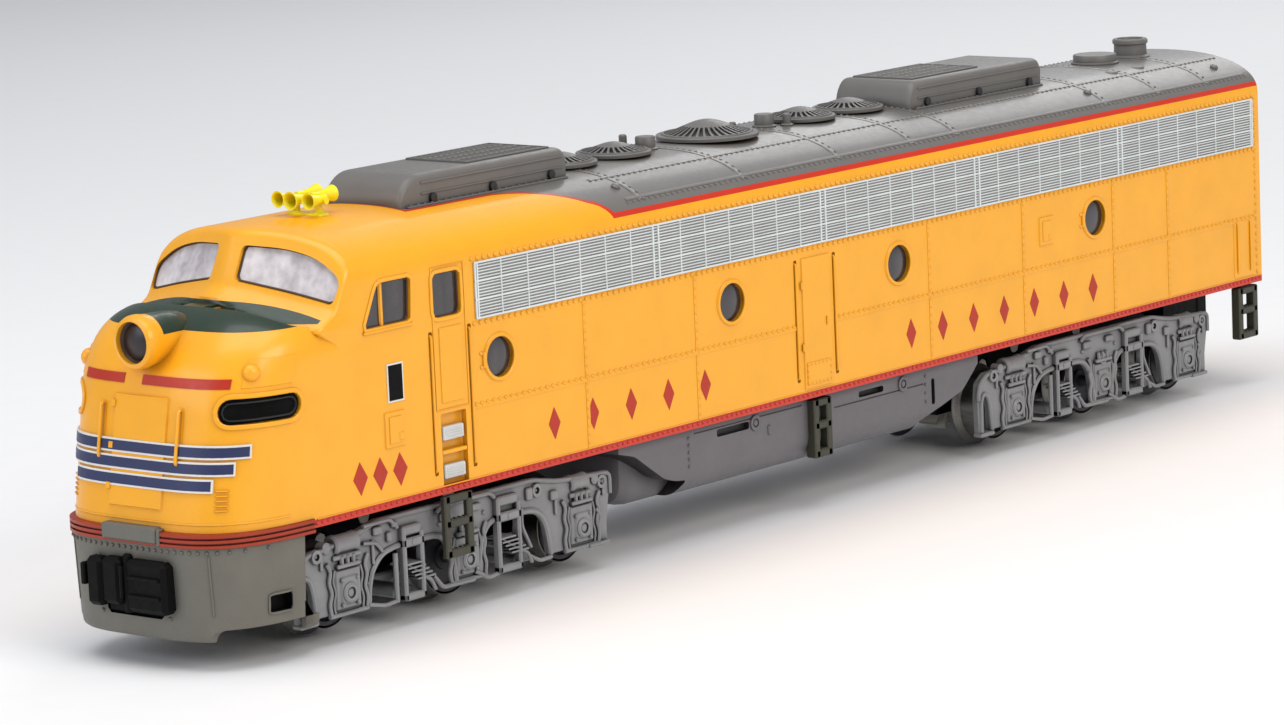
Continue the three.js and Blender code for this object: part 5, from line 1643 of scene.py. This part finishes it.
def fuel_tank():
    finishes = [FINISH["tank"], FINISH["dark"]]
    base = Piece("fuel_tank_detail", *finishes)
    outline = tank_section(TANK["half"], TANK["bottom"], TANK["top"], 2.2)
    base.add(loft([[(x, y, z) for x, z in outline] for y in np.linspace(TANK["front"], TANK["rear"], 24)]))
    cuts = Piece("cuts", *finishes)
    front = [(-30, 7.8), (-24.2, 7.8), (-22.17, 7.27), (-20.5, 6.13), (-18.8, 5.0), (-17.4, 4.55)]
    front += [(-15.83, 4.36), (-16.4, 3.7), (-16.8, 2.0), (-30, 2.0)]
    rear = [(14.2, 2.0), (14.5, 3.9), (16.2, 4.5), (20.1, 5.7), (22.3, 7.6), (30, 7.6), (30, 2.0)]
    # The faces these cuts leave take slot 1, painted dark as shade: the hollow ends between skirt and core,
    # and the slots in the sides.
    for cut in (front, rear):
        cuts.add(prism("x", rounded(cut, 0.4, 3), -11, 11), slot=1)
    for side in SIDES.values():
        deep, out = side * (TANK["half"] - 0.5), side * (TANK["half"] + 1)
        for y0, y1, z0, z1 in ((-12.2, -8.2, 7.1, 7.7), (5.95, 9.24, 7.25, 7.75), (15.7, 16.15, 5.1, 7.25)):
            slot = rounded(rectangle(y0, y1, z0, z1), 0.22)
            cuts.add(prism("x", slot, deep, out), slot=1)
        for y0, y1, z in ((-15, -1.5, 7.86), (2.7, 14.6, 7.0)):
            cuts.add(box(side * (TANK["half"] - 0.1), out, y0, y1, z - 0.06, z + 0.06, 0.02))
    core = Piece("core", *finishes)
    inner = tank_section(6.6, 2.9, 8.1, 1.6)
    rings = []
    stations = ((-21.6, 1.1), (-21.3, 0.5), (-20.7, 0.15), (-20, 0), (17.2, 0), (18.4, 0.3), (19.3, 1.2))
    for y, shrink in stations:
        rings.append([(x * (1 - shrink / 6.6), y, z + shrink * (0.6 if z < 6 else 0)) for x, z in inner])
    core.add(loft(rings), slot=0)
    made = carved(base, ("DIFFERENCE", cuts), ("UNION", core))
    work = Piece("tank_extras", *finishes)
    for side in SIDES.values():
        face = side_face(side, TANK["half"])
        for y, low in ((-15.7, 5.4), (14.9, 5.5)):
            work.rivets(face, [(y, low), (y, 7.6)], 0.62, size=0.9)
        ring = [(0.36, -0.1), (0.36, 0.12), (0.62, 0.12), (0.66, -0.1), (0.36, -0.1)]
        plug = [(0, -0.1), (0.28, -0.1), (0.24, 0.1), (0, 0.14)]
        for y in (-7.45, 11.82):
            for profile, sides in ((ring, 28), (plug, 18)):
                turned = [(r, side * (TANK["half"] + d)) for r, d in profile]
                work.add(lathe("x", (0, y, 7.45), turned, sides))
        work.add(box(side * 8.3, side * 8.62, -5.9, -5.5, 6.2, 7.0, 0.08))
    joined(made, work.mesh_object())
    smooth(made.data, 30)
    settle(made, "locomotive_body", "fuel_tank", slot="tank_grey")


STEP_DEPTH = {"front": 0.5, "middle": 1.0, "rear": 0.9}
STEP_SHIFT = 0.35


def steps(node):
    """A hanging step frame with two openings and ridged treads."""
    low, high = rail_box(node)
    side = 1 if low.x > 0 else -1
    outer = side * max(abs(low.x), abs(high.x))
    inner = outer - side * STEP_DEPTH[node.split("_")[0]]
    post, rung = 0.66, 0.62
    if node.startswith("front"):
        low.y, high.y = LADDER["front"] - 0.3, LADDER["rear"] + 0.05
    else:
        low.y, high.y = low.y - STEP_SHIFT, high.y - STEP_SHIFT
    work = Piece(f"{node}_detail", FINISH["step"])
    for y0, y1 in ((low.y, low.y + post), (high.y - post, high.y)):
        work.add(box(inner, outer, y0, y1, low.z, high.z, 0.1))
    middle = (low.z + high.z) / 2
    for z in (low.z, middle - 0.1, high.z - rung):
        work.add(box(inner, outer, low.y + 0.1, high.y - 0.1, z, z + rung, 0.1))
    for z in (low.z + rung, middle - 0.1 + rung):
        for k in range(4):
            y = low.y + post + 0.15 + k * (high.y - low.y - 2 * post - 0.3) / 3
            x0, x1 = inner + side * 0.05, outer - side * 0.05
            work.add(box(x0, x1, y - 0.07, y + 0.07, z - 0.1, z + 0.07, 0.02))
    work.finish("locomotive_body", node, slot="underframe_olive")


pilot()
couplers()
fuel_tank()
for place in ("front", "middle", "rear"):
    for name in SIDES:
        steps(f"{place}_steps_{name}")


# ---- Trucks and wheelsets ----
PLATE = {"inner": 7.3, "outer": 7.95, "limit": 8.45}
JOURNAL_Z = 2.9
PLATE_OUTLINE = [
    (-18.0, 1.4), (-18.1, 4.3), (-17.9, 5.6), (-16.9, 6.3), (-15.2, 6.4), (-12.0, 6.9), (-9.5, 7.5),
    (7.5, 7.5), (10.0, 7.0), (12.0, 6.8), (16.3, 6.6), (16.3, 5.0), (15.9, 3.0), (15.9, 1.4),
    (9.2, 1.5), (9.1, 2.6), (8.8, 3.9), (8.2, 4.8), (7.2, 5.2), (3.2, 5.3), (2.2, 5.0), (1.5, 4.0),
    (1.2, 2.6), (1.1, 1.5), (-1.4, 1.5), (-1.5, 2.6), (-1.8, 4.0), (-2.6, 5.0), (-3.6, 5.3),
    (-7.8, 5.25), (-9.2, 5.0), (-10.3, 4.0), (-10.7, 2.8), (-10.8, 1.5), (-16.3, 1.5), (-16.45, 3.4),
    (-16.8, 4.5), (-17.4, 4.7), (-17.75, 4.2), (-17.8, 1.4),
]
ARCHES = (PLATE_OUTLINE[14:24], PLATE_OUTLINE[24:34])


def pedestal(work, y):
    """The journal box at one axle: its ring, bolts, wavy guides and the spring pocket above."""
    base, limit = PLATE["outer"], PLATE["limit"]
    work.add(box(base - 0.2, base + 0.2, y - 1.35, y + 1.35, 1.7, 4.7, 0.15))
    work.add(box(base - 0.2, base + 0.32, y - 0.95, y + 0.95, 2.0, 4.2, 0.2))
    ring = [(0.42, base), (0.42, limit - 0.03), (0.6, limit), (0.74, limit - 0.12), (0.78, base)]
    ring.append(ring[0])
    work.add(lathe("x", (0, y, JOURNAL_Z), ring, 28))
    cap = [(0, base), (0.34, base), (0.28, limit - 0.12), (0, limit - 0.1)]
    work.add(lathe("x", (0, y, JOURNAL_Z), cap, 18))
    for dy in (-0.78, 0.78):
        for z in (2.1, 3.9):
            work.add(dome((base + 0.32, y + dy, z), (1, 0, 0), 0.16, 0.13))
    guide = [(2.15, 5.3), (1.75, 4.7), (2.0, 3.9), (1.7, 3.1), (2.0, 2.3), (1.85, 1.5)]
    for turn in (-1, 1):
        work.add(tube(bent([(base + 0.12, y + turn * a, z) for a, z in guide], 0.3), 0.17))
        work.add(tube(bent([(base + 0.1, y + turn * (a - 0.42), z) for a, z in guide[1:]], 0.3), 0.11))
    work.add(box(base - 0.1, base + 0.4, y - 1.2, y + 1.2, 4.75, 5.05, 0.08))
    for dy in (-0.6, 0, 0.6):
        work.add(tube([(base + 0.15, y + dy, 4.95), (base + 0.15, y + dy, 5.6)], 0.2, 8))
    work.add(tube([(base + 0.1, y - 2.0, 1.42), (base + 0.1, y + 2.0, 1.42)], 0.17))


def brake_cylinder(work, y0, y1, z, radius, rod):
    """A brake cylinder with rolled ends, its rod, the rod's eye and the shelf under it."""
    x = PLATE["outer"] - 0.3
    waist = radius * 0.92
    profile = [(0, y0), (radius * 0.8, y0), (radius, y0 + 0.15), (radius, y0 + 0.4), (waist, y0 + 0.5)]
    profile += [(waist, y1 - 0.4), (radius, y1 - 0.3), (radius, y1 - 0.1), (radius * 0.85, y1), (0, y1)]
    work.add(lathe("y", (x, 0, z), profile, 28))
    work.add(tube([(x + 0.1, y0 + 0.2, z), (x + 0.1, rod, z)], 0.24, 10))
    eye = [(0, -0.3), (0.42, -0.3), (0.42, 0.45), (0.25, 0.55), (0, 0.55)]
    work.add(lathe("x", (x, rod, z), eye, 18))
    work.add(box(x - 0.4, x + 0.55, y0 - 0.2, y1 + 0.2, z - radius - 0.32, z - radius + 0.05, 0.08))


def hanger(work, y0, y1, top, bottom, window_bottom):
    """A brake hanger: an upright frame round a window, with a slatted step tilted inside it."""
    x0, x1 = PLATE["outer"] - 0.15, PLATE["limit"]
    post = 0.42
    work.add(box(x0, x1, y0, y0 + post, bottom, top, 0.12))
    work.add(box(x0, x1, y1 - post, y1, bottom, top - 0.5, 0.12))
    work.add(box(x0, x1, y0, y1, bottom, window_bottom, 0.12))
    work.add(box(x0, x1, y0, y1, 5.0, 5.7, 0.12))
    work.add(box(x0 - 0.3, x1 - 0.1, y0 + 0.2, y1 - 0.2, top - 0.75, top, 0.12))
    bolt = [(0, x0), (0.28, x0), (0.24, x1 + 0.03), (0, x1 + 0.05)]
    work.add(lathe("x", (0, (y0 + y1) / 2, 5.35), bolt, 16))
    for k in range(5):
        y, z = y0 + 0.1 + 0.34 * k, 3.75 - 0.3 * k
        work.add(box(PLATE["inner"] - 0.4, x1 - 0.04, y, y + 1.9, z - 0.07, z + 0.07, 0.02))
    for x in (PLATE["inner"] - 0.2, x1 - 0.2):
        work.add(tube([(x, y0 + 0.4, 3.8), (x, y0 + 3.0, 2.3)], 0.09))
    rod = [(-0.1, 2.6), (0.7, 2.2), (1.1, 1.4)]
    work.add(tube(bent([(x1 - 0.2, y1 + y, z) for y, z in rod], 0.3), 0.15))


def side_frame(work):
    """One truck side, drawn on the +X side about the truck's pivot."""
    base, limit = PLATE["outer"], PLATE["limit"]
    work.add(prism("x", PLATE_OUTLINE, PLATE["inner"], base, 0.1))
    for arch_path in ARCHES:
        work.add(tube(bent([(base, y, z) for y, z in arch_path], 0.6), 0.24, 8))
    work.add(tube(bent([(base, y, z - 0.1) for y, z in PLATE_OUTLINE[1:12]], 0.5), 0.19, 8))
    end_arch = [(-17.75, 1.5), (-17.7, 4.2), (-17.35, 4.72), (-16.8, 4.45), (-16.45, 3.4), (-16.3, 1.5)]
    work.add(tube(bent([(base, y, z) for y, z in end_arch], 0.5), 0.2, 8))
    for y in (-AXLE_PITCH, -0.15, AXLE_PITCH - 0.2):
        pedestal(work, y)
    brake_cylinder(work, -14.2, -11.7, 6.42, 0.74, -15.0)
    brake_cylinder(work, 11.7, 13.7, 6.3, 0.68, 14.5)
    hanger(work, -7.35, -5.05, 6.6, 1.1, 1.66)
    hanger(work, 2.96, 5.64, 6.9, 1.2, 1.76)

    ring = [(0.26, base), (0.26, base + 0.25), (0.5, base + 0.25), (0.55, base), (0.26, base)]
    for y, z in ((-16.1, 6.0), (15.2, 6.0), (-0.1, 4.95), (7.76, 6.6)):
        work.add(lathe("x", (0, y, z), ring, 24))
        work.add(dome((base + 0.02, y, z), (1, 0, 0), 0.18, 0.14))
    lumps = ((-9.7, 6.75, 0.9, 0.6), (-8.5, 6.1, 0.5, 0.7), (-7.9, 6.9, 0.6, 0.4), (6.9, 6.5, 0.7, 0.9),
             (9.7, 5.9, 0.8, 0.7), (0.9, 6.6, 1.1, 0.5), (-2.4, 6.5, 1.2, 0.6))
    for y, z, w, h in lumps:
        work.add(box(base - 0.1, base + 0.3, y - w / 2, y + w / 2, z - h / 2, z + h / 2, 0.08))
    for y in (-10.75, -3.0, 1.9, 9.9):
        for z in (3.1, 2.2) if y < -10 else (6.0,):
            work.add(dome((base, y, z), (1, 0, 0), 0.2, 0.16))
    rods = [
        ([(-11.2, 7.3), (-8.4, 7.35), (-7.6, 6.6)], 0.15), ([(-7.95, 4.8), (-7.95, 1.2)], 0.2),
        ([(5.9, 5.6), (5.9, 4.2), (6.8, 2.5)], 0.17), ([(-4.0, 2.4), (-3.0, 1.35), (0.4, 1.3)], 0.17),
        ([(0.5, 1.9), (2.0, 1.1), (3.2, 1.25)], 0.17), ([(6.6, 1.9), (7.8, 1.3), (9.1, 1.35)], 0.15),
        ([(14.4, 4.1), (14.9, 3.4), (14.6, 2.6)], 0.14), ([(-11.0, 1.6), (-9.2, 1.2), (-7.9, 1.3)], 0.15),
        ([(-3.4, 6.9), (-2.9, 7.35), (2.5, 7.35), (3.0, 6.9)], 0.17),
        ([(-9.3, 5.2), (-9.9, 5.9), (-11.3, 6.1)], 0.14),
    ]
    for path, radius in rods:
        work.add(tube(bent([(base + 0.18, y, z) for y, z in path], 0.3), radius, 8))
    for y in (-15.6, -10.2, 9.9, 15.4):
        work.add(box(base - 0.1, base + 0.2, y - 0.14, y + 0.14, 4.9 if abs(y) > 12 else 4.4, 6.2, 0.05))
    work.add(box(base - 0.1, limit - 0.1, 13.4, 15.7, 1.2, 1.5, 0.08))
    work.add(box(PLATE["inner"], limit - 0.2, -18.1, -16.2, 1.1, 1.45, 0.1))


def truck(end):
    """A three-axle truck: two detailed side frames, cross bars and the bottom plate."""
    pivot = -TRUCK_Y if end == "front" else TRUCK_Y
    side = Piece("side")
    side_frame(side)
    work = Piece(f"{end}_truck_detail", FINISH["truck"])
    shape = moved((side.points, side.faces), pivot)
    work.add(shape, mirrored(shape))
    for y in (-AXLE_PITCH / 2, AXLE_PITCH / 2):
        work.add(box(-7.5, 7.5, pivot + y - 1.1, pivot + y + 1.1, 1.3, 1.95, 0.15))
    work.add(box(-2.6, 2.6, pivot - 9.8, pivot + 9.8, 1.3, 1.95, 0.15))
    for y in np.linspace(-8.6, 8.6, 7):
        work.add(box(-2.2, 2.2, pivot + y - 0.25, pivot + y + 0.25, 1.16, 1.4, 0.06))
    work.finish(f"{end}_truck", f"{end}_truck_frame", slot="truck_grey")


def axle_gear_outline(node, y, half_width=1.0):
    """The CAD axle gear's own outline in (y, z), so its teeth keep their mesh with the idler."""
    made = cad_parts[node]
    spots = [(made.matrix_world @ v.co - ORIGIN) / MM for v in made.data.vertices]
    edge = {(round(p.y, 3), round(p.z, 3)) for p in spots if abs(p.x - half_width) < 0.01}
    return sorted(edge, key=lambda p: math.atan2(p[1] - WHEEL_RADIUS, p[0] - y))


def wheelset(node, body, driven):
    """Two flanged wheels with dished faces and hubs on an axle; a driven set carries its gear."""
    low, high = rail_box(node)
    y = (low.y + high.y) / 2
    axle = (0, y, WHEEL_RADIUS)
    half_profile = [
        (0.0, 6.95), (0.32, 6.5), (0.5, 5.9), (0.5, 5.72), (0.95, 5.68), (1.0, 5.5), (1.25, 5.42),
        (2.05, 5.5), (2.25, 5.68), (2.3, 5.93), (2.5, 5.95), (2.76, 5.95), (2.81, 5.9), (2.86, 4.4),
        (3.05, 4.22), (3.35, 4.05), (3.4, 3.97), (3.3, 3.8), (2.96, 3.75), (2.3, 3.75), (2.2, 3.9),
        (1.1, 3.9), (1.0, 3.7), (0.75, 3.65),
    ]
    work = Piece(f"{node}_turned", FINISH["wheel_face"], FINISH["wheel"], FINISH["nylon"])
    for side in SIDES.values():
        face = half_profile + [(0.6, 3.6), (0.0, 3.6)]
        work.add(lathe("x", axle, [(r, side * x) for r, x in face], 64), slot=0)
        tread = [(r + 0.004, side * x) for r, x in half_profile[11:18]]
        tread += [(2.6, tread[-1][1]), (2.6, tread[0][1]), tread[0]]
        work.add(lathe("x", axle, tread, 64), slot=1)
    work.add(lathe("x", axle, [(0, -3.7), (0.72, -3.7), (0.72, 3.7), (0, 3.7)], 24), slot=1)
    if driven:
        work.add(prism("x", axle_gear_outline(node, y), -1, 1, 0.05), slot=2)
    work.finish(body, node, slot="wheel_metal")


for end in ENDS:
    truck(end)
    for spot in ("fore", "middle", "aft"):
        node = f"{end}_{spot}_wheelset"
        wheelset(node, node, spot != "middle")


# ---- The mechanism: CAD pieces that keep their shapes and get their finish ----
MECHANISM = {
    "chassis_screw": "steel", "chassis": "cast", "motor_can": "steel", "motor_armature": "brass",
    "flywheel": "brass", "worm_shaft": "steel", "worm_gear": "nylon", "idler": "nylon",
    "gear_case": "black", "light_board": "board", "light_pipe": "milky_and_painted_reflection", "coupler_pocket": "black",
}


def finish_mechanism():
    for name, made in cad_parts.items():
        key = next((part for part in MECHANISM if part in name), None)
        if key is None:
            continue
        made.data.materials.clear()
        made.data.materials.append(FINISH[MECHANISM[key]])
        edge = made.modifiers.new("edges", "BEVEL")
        edge.width = 0.06 * MM
        edge.limit_method = "ANGLE"
        edge.angle_limit = math.radians(50)


finish_mechanism()


# ---- Floor, lights and camera ----
VIEW = {"azimuth": 39.886, "elevation": 9.472, "roll": -2.499}
VIEW_TARGET, VIEW_DISTANCE = (0, -10.654, 12.092), 392.937
FLOOR_HALF, FLOOR_DROP = 3.0, 0.0002
SENSOR = 36.0
FOCAL_SHARE = 3.9105


def camera():
    azimuth, elevation, roll = (math.radians(angle) for angle in VIEW.values())
    level = math.cos(elevation)
    back = np.array((math.sin(azimuth) * level, -math.cos(azimuth) * level, math.sin(elevation)))
    right = np.array((math.cos(azimuth), math.sin(azimuth), 0))
    up = np.cross(back, right)
    turned = right * math.cos(roll) + up * math.sin(roll)
    up = up * math.cos(roll) - right * math.sin(roll)
    place = ORIGIN + Vector(np.array(VIEW_TARGET) + back * VIEW_DISTANCE) * MM
    data = bpy.data.cameras.new("camera")
    data.sensor_width = SENSOR
    data.lens = SENSOR * FOCAL_SHARE
    data.clip_start = 0.01
    made = bpy.data.objects.new("camera", data)
    rows = [(*row, place[k]) for k, row in enumerate(zip(turned, up, back))]
    made.matrix_world = Matrix(rows + [(0, 0, 0, 1)])
    bpy.context.scene.collection.objects.link(made)
    bpy.context.scene.camera = made


def light(name, azimuth, elevation, distance, size, power, tint="ffffff"):
    """A soft panel aimed at the locomotive's middle; distances in millimetres."""
    azimuth, elevation = math.radians(azimuth), math.radians(elevation)
    level = math.cos(elevation)
    towards = Vector((math.sin(azimuth) * level, -math.cos(azimuth) * level, math.sin(elevation)))
    data = bpy.data.lights.new(name, "AREA")
    data.shape = "RECTANGLE"
    data.size, data.size_y = size[0] * MM, size[1] * MM
    data.energy = power
    data.color = colour(tint)[:3]
    made = bpy.data.objects.new(name, data)
    made.location = ORIGIN + towards * distance * MM
    made.rotation_euler = towards.to_track_quat("Z", "Y").to_euler()
    bpy.context.scene.collection.objects.link(made)


def stage():
    mesh = bpy.data.meshes.new("floor")
    corners = rectangle(-FLOOR_HALF, FLOOR_HALF, -FLOOR_HALF, FLOOR_HALF)
    mesh.from_pydata([(x, y, CAD_BOX[0][2] - FLOOR_DROP) for x, y in corners], [], [(0, 1, 2, 3)])
    graph = Graph("floor_paper")
    finish_paint(graph, colour("f4f4f5"), 0.85, 0.006, 0.002)
    mesh.materials.append(graph.material)
    floor = bpy.data.objects.new("floor", mesh)
    bpy.context.scene.collection.objects.link(floor)
    world = bpy.data.worlds.new("studio")
    world.use_nodes = True
    world.node_tree.nodes["Background"].inputs["Color"].default_value = colour("f2f5fa")
    world.node_tree.nodes["Background"].inputs["Strength"].default_value = 0.42
    bpy.context.scene.world = world
    light("overhead", 20, 78, 420, (420, 320), 1.0)
    light("key", 82, 32, 460, (260, 200), 0.75, "fffaf2")
    light("front_fill", -20, 22, 460, (260, 180), 0.4, "f4f8ff")
    light("back_fill", 200, 30, 520, (300, 200), 0.4)


camera()
stage()
bpy.context.scene.view_settings.view_transform = "Standard"
